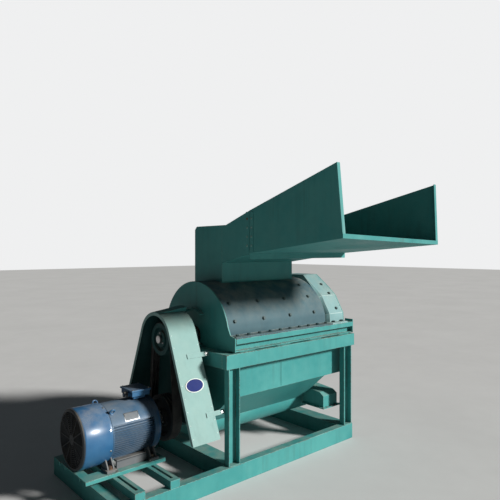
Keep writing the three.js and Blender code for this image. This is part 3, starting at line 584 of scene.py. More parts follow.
def streak_group() -> bpy.types.NodeTree:
    """Runs of dirt down a side: noise drawn out along Z, broken into patches by a broad noise.

    Returns:
        The group.
    """
    group, tree, given, out = effect_group("dirt_runs", {"Amount": 0.4, "Fineness": 26.0}, "Run")
    long = tree.stretched(given["where"], (1.0, 1.0, 0.06))
    lines = tree.band(tree.noise(long, given["Fineness"], 4.0, 0.6), 0.50, 0.72)
    patches = tree.band(tree.noise(given["where"], 3.0, 2.0), 0.40, 0.62)
    group.links.new(
        tree.math("MULTIPLY", tree.math("MULTIPLY", lines, patches), given["Amount"], clamp=True), out
    )
    return group


def scratch_group() -> bpy.types.NodeTree:
    """Fine scratches: the thin band round the middle value of a drawn-out noise, in two directions.

    Returns:
        The group.
    """
    group, tree, given, out = effect_group("handling_scratches", {"Amount": 0.5}, "Scratch")
    found = []
    for scale in ((3.0, 55.0, 60.0), (70.0, 60.0, 4.0)):
        field = tree.noise(tree.stretched(given["where"], scale), 1.0, 3.0, 0.5)
        away = tree.math("ABSOLUTE", tree.math("SUBTRACT", field, 0.5))
        found.append(tree.band(away, 0.0, 0.006, 1.0, 0.0))
    some = tree.band(tree.noise(given["where"], 7.0, 2.0), 0.50, 0.62)
    lines = tree.math("MULTIPLY", tree.math("MAXIMUM", *found), some)
    group.links.new(tree.math("MULTIPLY", lines, given["Amount"], clamp=True), out)
    return group


def skin_group() -> bpy.types.NodeTree:
    """The height of a sprayed or cast skin: noise at the grain's scale plus a broad ripple of the plate.

    Returns:
        The group.
    """
    group, tree, given, out = effect_group("sprayed_skin", {"Grain": 380.0, "Ripple": 0.35}, "Height")
    fine = tree.noise(given["where"], given["Grain"], 2.0)
    broad = tree.noise(given["where"], 14.0, 2.0)
    group.links.new(
        tree.math("ADD", tree.math("MULTIPLY", fine, 0.12), tree.math("MULTIPLY", broad, given["Ripple"])),
        out
    )
    return group


class Effects:
    """The shared node groups, each built once."""

    def __init__(self) -> None:
        """Builds every group."""
        self.patchy = patchy_group()
        self.dust = dust_group()
        self.chips = chip_group()
        self.runs = streak_group()
        self.scratches = scratch_group()
        self.skin = skin_group()

    @staticmethod
    def place(tree: Tree, group: bpy.types.NodeTree, **values: float) -> bpy.types.NodeSocket:
        """Puts a group in a material with its own values and gives its output."""
        node = tree.add("ShaderNodeGroup", node_tree=group)
        for label, value in values.items():
            node.inputs[label.capitalize()].default_value = value
        return node.outputs[0]


def blank_material(name: str) -> tuple[bpy.types.Material, Tree, bpy.types.Node]:
    """Starts a material with one Principled shader.

    Args:
        name: The material's name.

    Returns:
        The material, a Tree for it and its Principled node.
    """
    material = bpy.data.materials.new(name)
    material.use_nodes = True
    material.node_tree.nodes.clear()
    tree = Tree(material.node_tree)
    shader = tree.add("ShaderNodeBsdfPrincipled")
    out = tree.add("ShaderNodeOutputMaterial")
    material.node_tree.links.new(shader.outputs[0], out.inputs[0])
    return material, tree, shader


@dataclass(frozen=True)
class Paint:
    """Enamel on steel: its film, the dust and dirt on it, and where it is chipped to primer or metal."""

    name: str
    colour: Colour
    faded: Colour
    gloss: float = 0.36
    dull: float = 0.58
    patch: float = 2.2
    dust: float = 0.45
    chips: float = 0.10
    runs: float = 0.35
    grain: float = 380.0
    ripple: float = 0.35
    coat: float = 0.0
    shine: float = 0.22
    dust_colour: Colour = (0.42, 0.37, 0.29)
    dirt_colour: Colour = (0.030, 0.036, 0.034)
    bare_colour: Colour = (0.12, 0.085, 0.065)

    def build(self, effects: Effects) -> bpy.types.Material:
        """Makes the material.

        Args:
            effects: The shared node groups.

        Returns:
            The finished material.
        """
        material, tree, shader = blank_material(self.name)
        patch = effects.place(tree, effects.patchy, scale=self.patch)
        dust = effects.place(tree, effects.dust, amount=self.dust)
        runs = effects.place(tree, effects.runs, amount=self.runs)
        chips = effects.place(tree, effects.chips, amount=self.chips)
        scratches = effects.place(tree, effects.scratches, amount=0.55)
        height = effects.place(tree, effects.skin, grain=self.grain, ripple=self.ripple)
        film = tree.blend(patch, (*self.colour, 1.0), (*self.faded, 1.0))
        dirty = tree.blend(tree.math("MULTIPLY", runs, 0.6), film, (*self.dirt_colour, 1.0))
        scuffed = tree.blend(tree.math("MULTIPLY", scratches, 0.5), dirty, (*self.faded, 1.0))
        worn = tree.blend(chips, scuffed, (*self.bare_colour, 1.0))
        tree.into(shader, "Base Color", tree.blend(dust, worn, (*self.dust_colour, 1.0)))
        film_rough = tree.band(patch, 0.0, 1.0, self.gloss, self.dull)
        dusty = tree.math("MAXIMUM", film_rough, tree.math("MULTIPLY", dust, 0.95))
        tree.into(shader, "Roughness", tree.math("MAXIMUM", dusty, tree.math("MULTIPLY", chips, 0.72)))
        relief = tree.math("SUBTRACT", height, tree.math("MULTIPLY", chips, 0.5))
        relief = tree.math("ADD", relief, tree.math("MULTIPLY", dust, 0.15))
        bump = tree.add("ShaderNodeBump", {"Strength": 0.35, "Distance": 0.0008, "Height": relief})
        tree.into(shader, "Normal", bump.outputs[0])
        shader.inputs["Specular IOR Level"].default_value = self.shine
        shader.inputs["Coat Weight"].default_value = self.coat
        shader.inputs["Coat Roughness"].default_value = 0.22
        return material


@dataclass(frozen=True)
class BareMetal:
    """Unpainted steel or iron with an oil film, rust bloom and the marks of its machining."""

    name: str
    colour: Colour
    tarnish: Colour
    smooth: float = 0.24
    rough: float = 0.55
    rust: float = 0.25
    lines: Point = (1.0, 1.0, 1.0)
    line_scale: float = 260.0
    metallic: float = 1.0
    dust: float = 0.25
    rust_colour: Colour = (0.17, 0.066, 0.026)
    dust_colour: Colour = (0.40, 0.35, 0.28)

    def build(self, effects: Effects) -> bpy.types.Material:
        """Makes the material.

        Args:
            effects: The shared node groups.

        Returns:
            The finished material.
        """
        material, tree, shader = blank_material(self.name)
        where = tree.add("ShaderNodeTexCoord").outputs["Object"]
        patch = effects.place(tree, effects.patchy, scale=11.0)
        rust = effects.place(tree, effects.chips, amount=self.rust, scale=55.0)
        dust = effects.place(tree, effects.dust, amount=self.dust)
        grooves = tree.noise(tree.stretched(where, self.lines), self.line_scale, 3.0, 0.6)
        bare = tree.blend(patch, (*self.colour, 1.0), (*self.tarnish, 1.0))
        rusty = tree.blend(rust, bare, (*self.rust_colour, 1.0))
        tree.into(shader, "Base Color", tree.blend(dust, rusty, (*self.dust_colour, 1.0)))
        cover = tree.math("MAXIMUM", rust, dust)
        tree.into(shader, "Metallic", tree.band(cover, 0.0, 1.0, self.metallic, 0.0))
        polish = tree.band(tree.math("MULTIPLY", grooves, patch), 0.1, 0.5, self.smooth, self.rough)
        tree.into(shader, "Roughness", tree.math("MAXIMUM", polish, tree.math("MULTIPLY", cover, 0.85)))
        relief = tree.math("ADD", tree.math("MULTIPLY", grooves, 0.5), tree.math("MULTIPLY", rust, 0.5))
        bump = tree.add("ShaderNodeBump", {"Strength": 0.35, "Distance": 0.0006, "Height": relief})
        tree.into(shader, "Normal", bump.outputs[0])
        return material


@dataclass(frozen=True)
class Rubber:
    """Belt rubber: a matt skin with cloth grain, dusted, and polished where it has rubbed."""

    name: str
    colour: Colour = (0.018, 0.018, 0.019)
    rubbed: Colour = (0.045, 0.044, 0.043)
    dust: float = 0.5

    def build(self, effects: Effects) -> bpy.types.Material:
        """Makes the material.

        Args:
            effects: The shared node groups.

        Returns:
            The finished material.
        """
        material, tree, shader = blank_material(self.name)
        where = tree.add("ShaderNodeTexCoord").outputs["Object"]
        patch = effects.place(tree, effects.patchy, scale=16.0)
        dust = effects.place(tree, effects.dust, amount=self.dust)
        weave = tree.add("ShaderNodeTexVoronoi", {"Vector": where, "Scale": 900.0}).outputs["Distance"]
        film = tree.blend(patch, (*self.colour, 1.0), (*self.rubbed, 1.0))
        tree.into(shader, "Base Color", tree.blend(dust, film, (0.33, 0.29, 0.23, 1.0)))
        tree.into(shader, "Roughness", tree.band(patch, 0.0, 1.0, 0.82, 0.55))
        bump = tree.add("ShaderNodeBump", {"Strength": 0.4, "Distance": 0.0004, "Height": weave})
        tree.into(shader, "Normal", bump.outputs[0])
        return material


@dataclass(frozen=True)
class Floor:
    """The pale studio floor, faintly clouded."""

    name: str = "pale_floor"
    colour: Colour = (0.64, 0.64, 0.635)
    shade: Colour = (0.60, 0.60, 0.595)

    def build(self, effects: Effects) -> bpy.types.Material:
        """Makes the floor's material.

        Args:
            effects: The shared groups.

        Returns:
            The material.
        """
        material, tree, shader = blank_material(self.name)
        patch = effects.place(tree, effects.patchy, scale=0.7)
        tree.into(shader, "Base Color", tree.blend(patch, (*self.colour, 1.0), (*self.shade, 1.0)))
        shader.inputs["Roughness"].default_value = 0.85
        return material


class Finishes:
    """Every finish of the machine, built once."""

    def __init__(self) -> None:
        """Names the paints' colours and builds every material."""
        effects = Effects()
        teal: Colour = (0.038, 0.225, 0.220)
        teal_faded: Colour = (0.060, 0.275, 0.262)
        slate: Colour = (0.042, 0.092, 0.112)
        slate_faded: Colour = (0.064, 0.124, 0.146)
        # The pale mint stands in for glare off the guard's teal slopes: painted reflection.
        mint_glare: Colour = (0.185, 0.325, 0.305)
        mint_glare_faded: Colour = (0.235, 0.380, 0.360)
        blue: Colour = (0.014, 0.080, 0.190)
        blue_faded: Colour = (0.035, 0.125, 0.245)
        grey: Colour = (0.120, 0.145, 0.150)
        grey_faded: Colour = (0.180, 0.205, 0.205)
        self.teal = Paint("teal_enamel", teal, teal_faded).build(effects)
        self.teal_edge = Paint(
            "teal_enamel_edges", teal_faded, (0.20, 0.40, 0.37), chips=0.75, dust=0.30
        ).build(effects)
        self.trough_inside = Paint(
            "feed_trough_enamel", teal, teal_faded, dust=0.85, chips=0.22, runs=0.55, gloss=0.42, dull=0.70
        ).build(effects)
        self.slate = Paint(
            "slate_enamel", slate, slate_faded, gloss=0.50, dull=0.66, shine=0.15, dust=0.45
        ).build(effects)
        self.slate_edge = Paint(
            "slate_enamel_edges", slate_faded, (0.25, 0.33, 0.34), chips=0.7
        ).build(effects)
        # The guard's pale face colour and its edges: painted glare over the teal paint.
        self.mint_glare = Paint(
            "mint_enamel", mint_glare, mint_glare_faded, gloss=0.50, dull=0.62, shine=0.12, dust=0.30, runs=0.25
        ).build(effects)
        self.mint_glare_edge = Paint(
            "mint_enamel_edges", mint_glare_faded, (0.50, 0.62, 0.60), chips=0.45, dust=0.2
        ).build(effects)
        self.hood = Paint(
            "end_hood_enamel", (0.145, 0.280, 0.290), (0.195, 0.335, 0.340), gloss=0.46, dull=0.60,
            shine=0.15, dust=0.35
        ).build(effects)
        self.blue = Paint(
            "motor_enamel", blue, blue_faded, gloss=0.28, dull=0.46, grain=240.0, ripple=0.2, coat=0.3
        ).build(effects)
        self.blue_edge = Paint(
            "motor_enamel_edges", blue_faded, (0.09, 0.18, 0.29), chips=0.5, dust=0.3
        ).build(effects)
        self.grey = Paint("grey_enamel", grey, grey_faded, gloss=0.42, dull=0.6).build(effects)
        self.grey_edge = Paint("grey_enamel_edges", grey_faded, (0.3, 0.32, 0.32), chips=0.55).build(effects)
        self.black = Paint(
            "black_enamel", (0.014, 0.018, 0.022), (0.030, 0.036, 0.042), gloss=0.40, dull=0.6, dust=0.45
        ).build(effects)
        self.casting = Paint(
            "painted_casting", (0.040, 0.130, 0.128), (0.070, 0.180, 0.175), grain=150.0, ripple=0.5,
            chips=0.25, dust=0.55
        ).build(effects)
        self.rubber = Rubber("belt_rubber").build(effects)
        self.bright = BareMetal(
            "bright_steel", (0.56, 0.56, 0.57), (0.40, 0.39, 0.38), rust=0.12
        ).build(effects)
        self.worn = BareMetal(
            "worn_steel", (0.32, 0.29, 0.26), (0.18, 0.15, 0.13), smooth=0.30, rough=0.62, rust=0.35
        ).build(effects)
        self.dark_bolt = Paint(
            "dark_bolts", (0.012, 0.040, 0.044), (0.030, 0.070, 0.074), gloss=0.38, dull=0.6, chips=0.35,
            dust=0.4
        ).build(effects)
        self.zinc = BareMetal(
            "zinc_bolts", (0.46, 0.47, 0.47), (0.30, 0.30, 0.29), smooth=0.32, rough=0.58, rust=0.30,
            dust=0.35
        ).build(effects)
        self.rusty_bolt = BareMetal(
            "rusty_bolts", (0.30, 0.24, 0.19), (0.17, 0.11, 0.08), smooth=0.45, rough=0.7, rust=0.75,
            dust=0.35
        ).build(effects)
        self.badge = Paint(
            "badge_enamel", (0.008, 0.016, 0.110), (0.014, 0.028, 0.150), gloss=0.55, dull=0.65, shine=0.08,
            chips=0.05,
            runs=0.1, dust=0.15, ripple=0.05
        ).build(effects)
        self.badge_rim = Paint(
            "badge_rim_enamel", (0.62, 0.66, 0.62), (0.72, 0.75, 0.71), gloss=0.55, dull=0.65, shine=0.10,
            runs=0.15,
            chips=0.05, dust=0.2
        ).build(effects)
        # Dark teal for the faces inside the belt guard and for the driven pulley: painted shade, not a paint of
        # their own.
        self.guard_inside_shade = Paint(
            "guard_inner_enamel", (0.010, 0.055, 0.056), (0.018, 0.080, 0.080), gloss=0.5, dull=0.7,
            dust=0.55, runs=0.5
        ).build(effects)
        self.fins = Paint(
            "motor_fin_enamel", (0.022, 0.085, 0.170), (0.075, 0.130, 0.190), gloss=0.34, dull=0.55, dust=0.7,
            grain=240.0,
            ripple=0.2, dust_colour=(0.20, 0.21, 0.22)
        ).build(effects)
        # Near-black for the disc behind the cowl's grille: painted shade where the cowl's inside lies in shadow.
        self.cowl_shade = Paint(
            "cowl_inner_enamel", (0.006, 0.010, 0.014), (0.014, 0.020, 0.026), gloss=0.6, dull=0.8, dust=0.5,
            coat=0.0
        ).build(effects)
        self.bare_casting = Paint(
            "foot_enamel", (0.090, 0.105, 0.120), (0.140, 0.145, 0.150), gloss=0.5, dull=0.72, chips=0.42,
            grain=160.0,
            dust=0.7, bare_colour=(0.17, 0.075, 0.035)
        ).build(effects)
        self.plate = BareMetal(
            "nameplate_metal", (0.24, 0.26, 0.28), (0.18, 0.19, 0.20), smooth=0.28, rough=0.5, rust=0.03,
            lines=(0.02, 1.0, 1.0)
        ).build(effects)
        self.plate_field = Paint(
            "nameplate_field", (0.11, 0.13, 0.15), (0.16, 0.18, 0.20), gloss=0.35, dull=0.5, chips=0.08
        ).build(effects)
        self.floor = Floor().build(effects)


# ---- Dressing the frame's parts -------------------------------------------------------------


class Slot(str, Enum):
    """The record's material slots that the machine's pieces take their finish from."""

    TEAL = "teal_paint"
    SLATE = "slate_paint"
    MINT = "mint_paint"
    BLUE = "blue_paint"
    GREY = "grey_paint"
    BLACK = "black_paint"
    RUBBER = "belt_rubber"
    BRIGHT = "bright_steel"
    WORN = "worn_steel"
    IRON = "cast_iron"


@dataclass(frozen=True)
class Coat:
    """A face finish, the finish of its rounded edges, and the slot that both come from."""

    face: bpy.types.Material
    edge: bpy.types.Material
    slot: Slot


def paint_node(node: str, material: bpy.types.Material) -> None:
    """Gives a frame part one finish and leaves its shape alone."""
    mesh = frame["nodes"][node].data
    mesh.materials.clear()
    mesh.materials.append(material)
    log.info("%s painted", node)


def round_off(
    node: str, coat: Coat, width: float, body: Body = Body.FRAME, smooth_angle: float = 32.0
) -> bpy.types.Object:
    """Stands a smooth-edged piece in for a frame part: its merged faces with a bevel along every sharp edge.

    Args:
        node: The frame part.
        coat: Its finishes; the bevel's strip takes the edge finish.
        width: The bevel's width.
        body: The body that it rides on.
        smooth_angle: Edges sharper than this many degrees are bevelled.

    Returns:
        The new object.
    """
    work = bmesh.new()
    work.from_mesh(frame["nodes"][node].data)
    bmesh.ops.remove_doubles(work, verts=work.verts, dist=2e-6)
    bmesh.ops.dissolve_limit(work, angle_limit=math.radians(0.4), verts=work.verts, edges=work.edges)
    mesh = bpy.data.meshes.new(f"{node}_finished")
    work.to_mesh(mesh)
    work.free()
    mesh.polygons.foreach_set("use_smooth", np.full(len(mesh.polygons), True))
    mesh.set_sharp_from_angle(angle=math.radians(smooth_angle))
    mesh.materials.clear()
    mesh.materials.append(coat.face)
    mesh.materials.append(coat.edge)
    mesh.polygons.foreach_set("material_index", np.zeros(len(mesh.polygons), np.int32))
    piece = bpy.data.objects.new(f"{node}_finished", mesh)
    bpy.context.scene.collection.objects.link(piece)
    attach(piece, body.value)
    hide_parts(node)
    bevelled(piece, width)
    bevel = piece.modifiers["round_edges"]
    bevel.material = 1
    bevel.angle_limit = math.radians(smooth_angle)
    log.info("%s stands in for %s", piece.name, node)
    return piece


@dataclass
class SubAssembly:
    """One sub-assembly: it knows the finishes and the coats made from them."""

    finishes: Finishes

    def __post_init__(self) -> None:
        """Pairs each paint with the worn paint of its rounded edges."""
        finishes = self.finishes
        self.teal = Coat(finishes.teal, finishes.teal_edge, Slot.TEAL)
        self.slate = Coat(finishes.slate, finishes.slate_edge, Slot.SLATE)
        self.mint_glare = Coat(finishes.mint_glare, finishes.mint_glare_edge, Slot.MINT)
        self.blue = Coat(finishes.blue, finishes.blue_edge, Slot.BLUE)
        self.grey = Coat(finishes.grey, finishes.grey_edge, Slot.GREY)

    def zinc_bolts(
        self, name: str, places: Seats, size: BoltSize, body: Body = Body.FRAME
    ) -> None:
        """Adds a group of plated bolts."""
        bolt_group(name, places, size, self.finishes.zinc, body)

    def dark_bolts(self, name: str, places: Seats, size: BoltSize) -> None:
        """Adds a group of bolts under old dark paint."""
        bolt_group(name, places, size, self.finishes.dark_bolt, Body.FRAME)

    def painted_bolts(
        self, name: str, places: Seats, size: BoltSize, body: Body = Body.FRAME
    ) -> None:
        """Adds a group of bolts under the same paint as the plate."""
        bolt_group(name, places, size, self.finishes.teal_edge, body)

    def teal_plates(self, name: str, parts: list[Mesh], bevel: float = 0.001) -> None:
        """Adds flat teal plates on the frame as one piece, and rounds their edges if a bevel is given."""
        verts, faces = merged(parts)
        piece = make_piece(name, verts, faces, self.finishes.teal, Body.FRAME, smooth=False)
        if bevel:
            bevelled(piece, bevel)

    def welds(self, name: str, runs: Runs, radius: float = 0.004) -> None:
        """Adds weld beads, each from a start to an end and standing out along a direction."""
        verts, faces = merged([weld_bead(start, end, out, radius) for start, end, out in runs])
        make_piece(name, verts, faces, self.finishes.teal, Body.FRAME)


@dataclass
class Skid(SubAssembly):
    """The channel-steel skid with its cross members and weld seams."""

    edge: float = 0.0022
    weld: float = 0.0035
    rails: tuple[str, ...] = (
        "skid_front_rail", "skid_rear_rail", "skid_left_end", "skid_left_cross", "skid_right_cross"
    )

    def build(self) -> None:
        """Dresses the rails and adds the welds between them."""
        for node in self.rails:
            round_off(node, self.teal, self.edge)
        front_low, front_high = node_box("skid_front_rail")
        rear_low, rear_high = node_box("skid_rear_rail")
        runs: Runs = []
        for cross in ("skid_left_cross", "skid_right_cross"):
            low, high = node_box(cross)
            for y, out in ((front_high[1], 1.0), (rear_low[1], -1.0)):
                runs.append(((low[0], y, high[2]), (high[0], y, high[2]), UP))
                runs.append(((low[0], y, low[2] + 0.01), (low[0], y, high[2]), (-1.0, out, 0.0)))
        left, top, face = front_low[0], front_high[2], front_low[1] + 0.004
        runs.append(((left, face, 0.012), (left, face, top - 0.01), FRONT))
        for low, high in ((front_low, front_high), (rear_low, rear_high)):
            runs.append(((left, low[1], top), (left, high[1], top), UP))
        self.welds("skid_welds", runs, self.weld)


@dataclass
class Stand(SubAssembly):
    """The four channel legs and the top rails that carry the mill."""

    edge: float = 0.0022
    weld: float = 0.0032
    cap_thick: float = 0.005
    cap_gap: float = 0.0004
    cap_inset: float = 0.0005
    legs: tuple[str, ...] = ("leg_front_left", "leg_front_right", "leg_rear_left", "leg_rear_right")
    top: tuple[str, ...] = ("top_rail_front", "top_rail_rear", "top_rail_left", "top_rail_right")

    def build(self) -> None:
        """Dresses legs and rails and adds the welds at their feet and heads."""
        for node in self.legs + self.top:
            round_off(node, self.teal, self.edge)
        middle = joint_point("rotor_spin")[1]
        runs: Runs = []
        for node in self.legs:
            low, high = node_box(node)
            for z in (low[2], high[2]):
                for y, out in ((low[1], -1.0), (high[1], 1.0)):
                    if z == high[2] and out * (low[1] - middle) > 0:
                        continue
                    runs.append(((low[0], y, z), (high[0], y, z), (0.0, out, 0.3)))
                runs.append(((low[0], low[1], z), (low[0], high[1], z), (-1.0, 0.0, 0.3)))
                runs.append(((high[0], low[1], z), (high[0], high[1], z), (1.0, 0.0, 0.3)))
        self.welds("stand_welds", runs, self.weld)
        self.end_caps()

    def end_caps(self) -> None:
        """Plates that close the open ends of the top rails, set just inside them."""
        parts = []
        inset = self.cap_inset
        for node in ("top_rail_front", "top_rail_rear"):
            low, high = node_box(node)
            for x in (low[0] + self.cap_gap, high[0] - self.cap_gap - self.cap_thick):
                near = (x, low[1] + inset, low[2] + inset)
                parts.append(block(near, (x + self.cap_thick, high[1] - inset, high[2] - inset)))
        self.teal_plates("rail_end_caps", parts)


@dataclass
class Housing(SubAssembly):
    """The drum housing: sills, end plates, panels, split covers and their bolts."""

    bolt_pitch: float = 0.1
    flange_thick: float = 0.012
    flange_inset: float = 0.036
    hood_bolt_share: float = 0.26
    rim_wide: float = 0.026
    rim_proud: float = 0.005
    rim_clear: float = 0.010
    plate_gap: float = 0.0003

    def build(self) -> None:
        """Dresses the housing's plates and adds bolts, seams and liner bolts."""
        for node in ("sill_front", "sill_rear"):
            round_off(node, self.teal, 0.0018)
        for node in ("end_plate_left", "end_plate_right"):
            round_off(node, self.teal, 0.0012)
        for node in ("front_panel", "rear_panel"):
            round_off(node, self.teal, 0.001)
        paint_node("divider_plate", self.finishes.teal)
        round_off("main_cover", self.slate, 0.0012, smooth_angle=25)
        hood = Coat(self.finishes.hood, self.finishes.mint_glare_edge, Slot.TEAL)
        round_off("end_hood", hood, 0.0014, smooth_angle=18)
        self.flange_bolts()
        self.liner_bolts()
        self.panel_seams()
        self.exhaust_rim()
        self.bearings()

    def flange_bolts(self) -> None:
        """A row of bolts along each cover flange."""
        low, high = node_box("main_cover")
        hood_low, hood_high = node_box("end_hood")
        flange_top = float(low[2] + self.flange_thick)
        count = int((hood_high[0] - low[0] - 0.06) / self.bolt_pitch)
        stations = np.linspace(low[0] + 0.04, hood_high[0] - 0.035, count + 1)
        middle = float((low[1] + high[1]) / 2)
        inset = self.flange_inset
        places: Seats = []
        for x in stations.tolist():
            if abs(x - hood_low[0]) < 0.02:
                x += 0.03
            for y in (low[1] + inset, 2 * middle - low[1] - inset):
                places.append(((x, y, flange_top), UP))
        self.dark_bolts("cover_flange_bolts", places, BoltSize(0.025, 0.012, 0.0145, 0.003))

    def liner_bolts(self) -> None:
        """Bolts that hold the liner, set in rows on the round cover and on the faceted hood."""
        axis = joint_point("rotor_spin")
        low, high = node_box("main_cover")
        radius = float(high[2] - axis[2])
        stations = np.linspace(low[0] + 0.0625, high[0] - 0.13, 4).tolist()
        places: Seats = []
        for x in stations:
            for angle in (161, 141, 19, 39):
                places.append(self.on_drum(x, angle, radius, axis))
        for angle in (122, 102, 58, 78):
            places.append(self.on_drum(stations[-1], angle, radius, axis))
        self.dark_bolts("liner_bolts", places, BoltSize(0.024, 0.012, 0.0155, 0.0025))
        hood_x = float(node_box("end_hood")[1][0]) - 0.062
        hood_places: Seats = []
        for low_corner, high_corner in self.hood_facets():
            rise = high_corner - low_corner
            across = rise / float(np.linalg.norm(rise))
            y, z = (low_corner + self.hood_bolt_share * rise).tolist()
            for side, face in ((-1.0, y), (1.0, 2 * axis[1] - y)):
                hood_places.append(((hood_x, face, z), (0.0, side * float(across[1]), float(across[0]))))
        self.dark_bolts("hood_bolts", hood_places, BoltSize(0.022, 0.011, 0.0145, 0.0025))

    @staticmethod
    def hood_facets() -> list[tuple[np.ndarray, np.ndarray]]:
        """Finds the flats that slope up the front of the end hood.

        Returns:
            The lower and the upper edge of each flat, as (y, z), from the lowest flat up.
        """
        mesh = frame["nodes"]["end_hood"].data
        flats: dict[tuple[float, float], list[tuple[float, float]]] = {}
        for face in mesh.polygons:
            normal = face.normal
            if abs(normal.x) < 0.05 and normal.z > 0.1 and normal.y < -0.05:
                corners = flats.setdefault((round(normal.y, 2), round(normal.z, 2)), [])
                corners.extend((mesh.vertices[i].co.y, mesh.vertices[i].co.z) for i in face.vertices)
        edges = [(np.array(min(corners)), np.array(max(corners))) for corners in flats.values()]
        return sorted(edges, key=lambda edge: float(edge[0][1]))

    @staticmethod
    def on_drum(x: float, angle: float, radius: float, axis: np.ndarray) -> tuple[Point, Point]:
        """A seat on the drum at an angle in degrees from +Y, and the way outwards there."""
        turn = math.radians(angle)
        out = (0.0, math.cos(turn), math.sin(turn))
        return (x, axis[1] + radius * out[1], axis[2] + radius * out[2]), out

    def panel_seams(self) -> None:
        """Weld beads up the panels' seams, and the bolts of the right end plate."""
        low, high = node_box("front_panel")
        rear_high = node_box("rear_panel")[1]
        rail = node_box("top_rail_front")[0][2]
        seam_x = float(low[0] + high[0]) / 2 - 0.1
        runs: Runs = [
            ((seam_x, low[1], low[2] + 0.01), (seam_x, low[1], float(rail) - 0.002), FRONT),
            ((seam_x, rear_high[1], low[2] + 0.01), (seam_x, rear_high[1], high[2] - 0.1), REAR),
        ]
        self.welds("panel_seams", runs, 0.0025)
        plate_low, plate_high = node_box("end_plate_right")
        rim: Seats = []
        for z in np.linspace(plate_low[2] + 0.05, plate_high[2] - 0.42, 5).tolist():
            for y in (plate_low[1] + 0.07, plate_high[1] - 0.07):
                rim.append(((plate_high[0], y, z), RIGHT))
        self.painted_bolts("end_plate_bolts", rim, BoltSize(0.019, 0.008, 0.012, 0.002))

    def exhaust_rim(self) -> None:
        """A flat rim round the rear panel's exhaust opening, with three bolts above it and three below."""
        opening = next(o for o in frame["record"]["physics"]["openings"] if o["name"] == "exhaust_opening")
        near, far = (np.array(corner) for corner in opening["box_m"])
        y = float(node_box("rear_panel")[1][1])
        wide, proud = self.rim_wide, self.rim_proud
        x0, _, z0 = (near - self.rim_clear).tolist()
        x1, _, z1 = (far + self.rim_clear).tolist()
        bars = [
            block((x0 - wide, y + self.plate_gap, z0 - wide), (x1 + wide, y + proud, z0)),
            block((x0 - wide, y + self.plate_gap, z1), (x1 + wide, y + proud, z1 + wide)),
            block((x0 - wide, y + self.plate_gap, z0), (x0, y + proud, z1)),
            block((x1, y + self.plate_gap, z0), (x1 + wide, y + proud, z1)),
        ]
        self.teal_plates("exhaust_rim", bars)
        seats: Seats = []
        for x in (x0 - wide / 2, (x0 + x1) / 2, x1 + wide / 2):
            for z in (z0 - wide / 2, z1 + wide / 2):
                seats.append(((x, y + proud, z), REAR))
        self.zinc_bolts("exhaust_bolts", seats, BoltSize(0.014, 0.006, 0.0085, 0.0015))

    def bearings(self) -> None:
        """Dresses the split bearings and gives each its hold-down bolts and grease nipple."""
        iron = Coat(self.finishes.casting, self.finishes.casting, Slot.IRON)
        axis = joint_point("rotor_spin")
        held: Seats = []
        for node in ("bearing_left", "bearing_right"):
            round_off(node, iron, 0.003, smooth_angle=30)
            low, high = node_box(node)
            x = float(low[0] + high[0]) / 2
            for y in (low[1] + 0.03, high[1] - 0.03):
                held.append(((x, y, low[2] + 0.022), UP))
        self.zinc_bolts("bearing_bolts", held, BoltSize(0.034, 0.017, 0.021, 0.004))
        parts = []
        for node in ("bearing_left", "bearing_right"):
            low, high = node_box(node)
            x = float(low[0] + high[0]) / 2
            top = high[2]
            profile = [
                (0.0, 0.0), (0.006, 0.0), (0.006, 0.004), (0.0035, 0.008), (0.0045, 0.012), (0.0, 0.0145)
            ]
            parts.append(upright_turned(profile, (x, axis[1], top - 0.001), 16))
        verts, faces = merged(parts)
        make_piece("grease_nipples", verts, faces, self.finishes.bright, Body.FRAME)


def upright_turned(
    profile: Sequence[tuple[float, float]], foot: Point, segments: int
) -> Mesh:
    """Revolves a profile of (radius, height) round the Z axis; it starts and ends on the axis.

    Args:
        profile: Points from the foot to the top; the two ends have radius 0.
        foot: Where height 0 on the axis lies.
        segments: Number of steps round the axis.

    Returns:
        The points and the faces.
    """
    rings = np.array(profile[1:-1], float)
    turn = np.linspace(0.0, TAU, segments, endpoint=False)
    x = rings[:, 0:1] * np.cos(turn)[None, :]
    y = rings[:, 0:1] * np.sin(turn)[None, :]
    z = np.broadcast_to(rings[:, 1:2], x.shape)
    ends = np.array([[0.0, 0.0, profile[0][1]], [0.0, 0.0, profile[-1][1]]])
    verts = np.concatenate([np.stack([x, y, z], axis=-1).reshape(-1, 3), ends]) + np.array(foot)
    faces = grid_faces(len(rings), segments, False, True).tolist()
    last = (len(rings) - 1) * segments
    step = np.arange(segments)
    after = (step + 1) % segments
    foot_at, top_at = len(rings) * segments, len(rings) * segments + 1
    faces += np.stack([after, step, np.full(segments, foot_at)], axis=1).tolist()
    faces += np.stack([last + step, last + after, np.full(segments, top_at)], axis=1).tolist()
    return verts, facing_out(verts, faces)


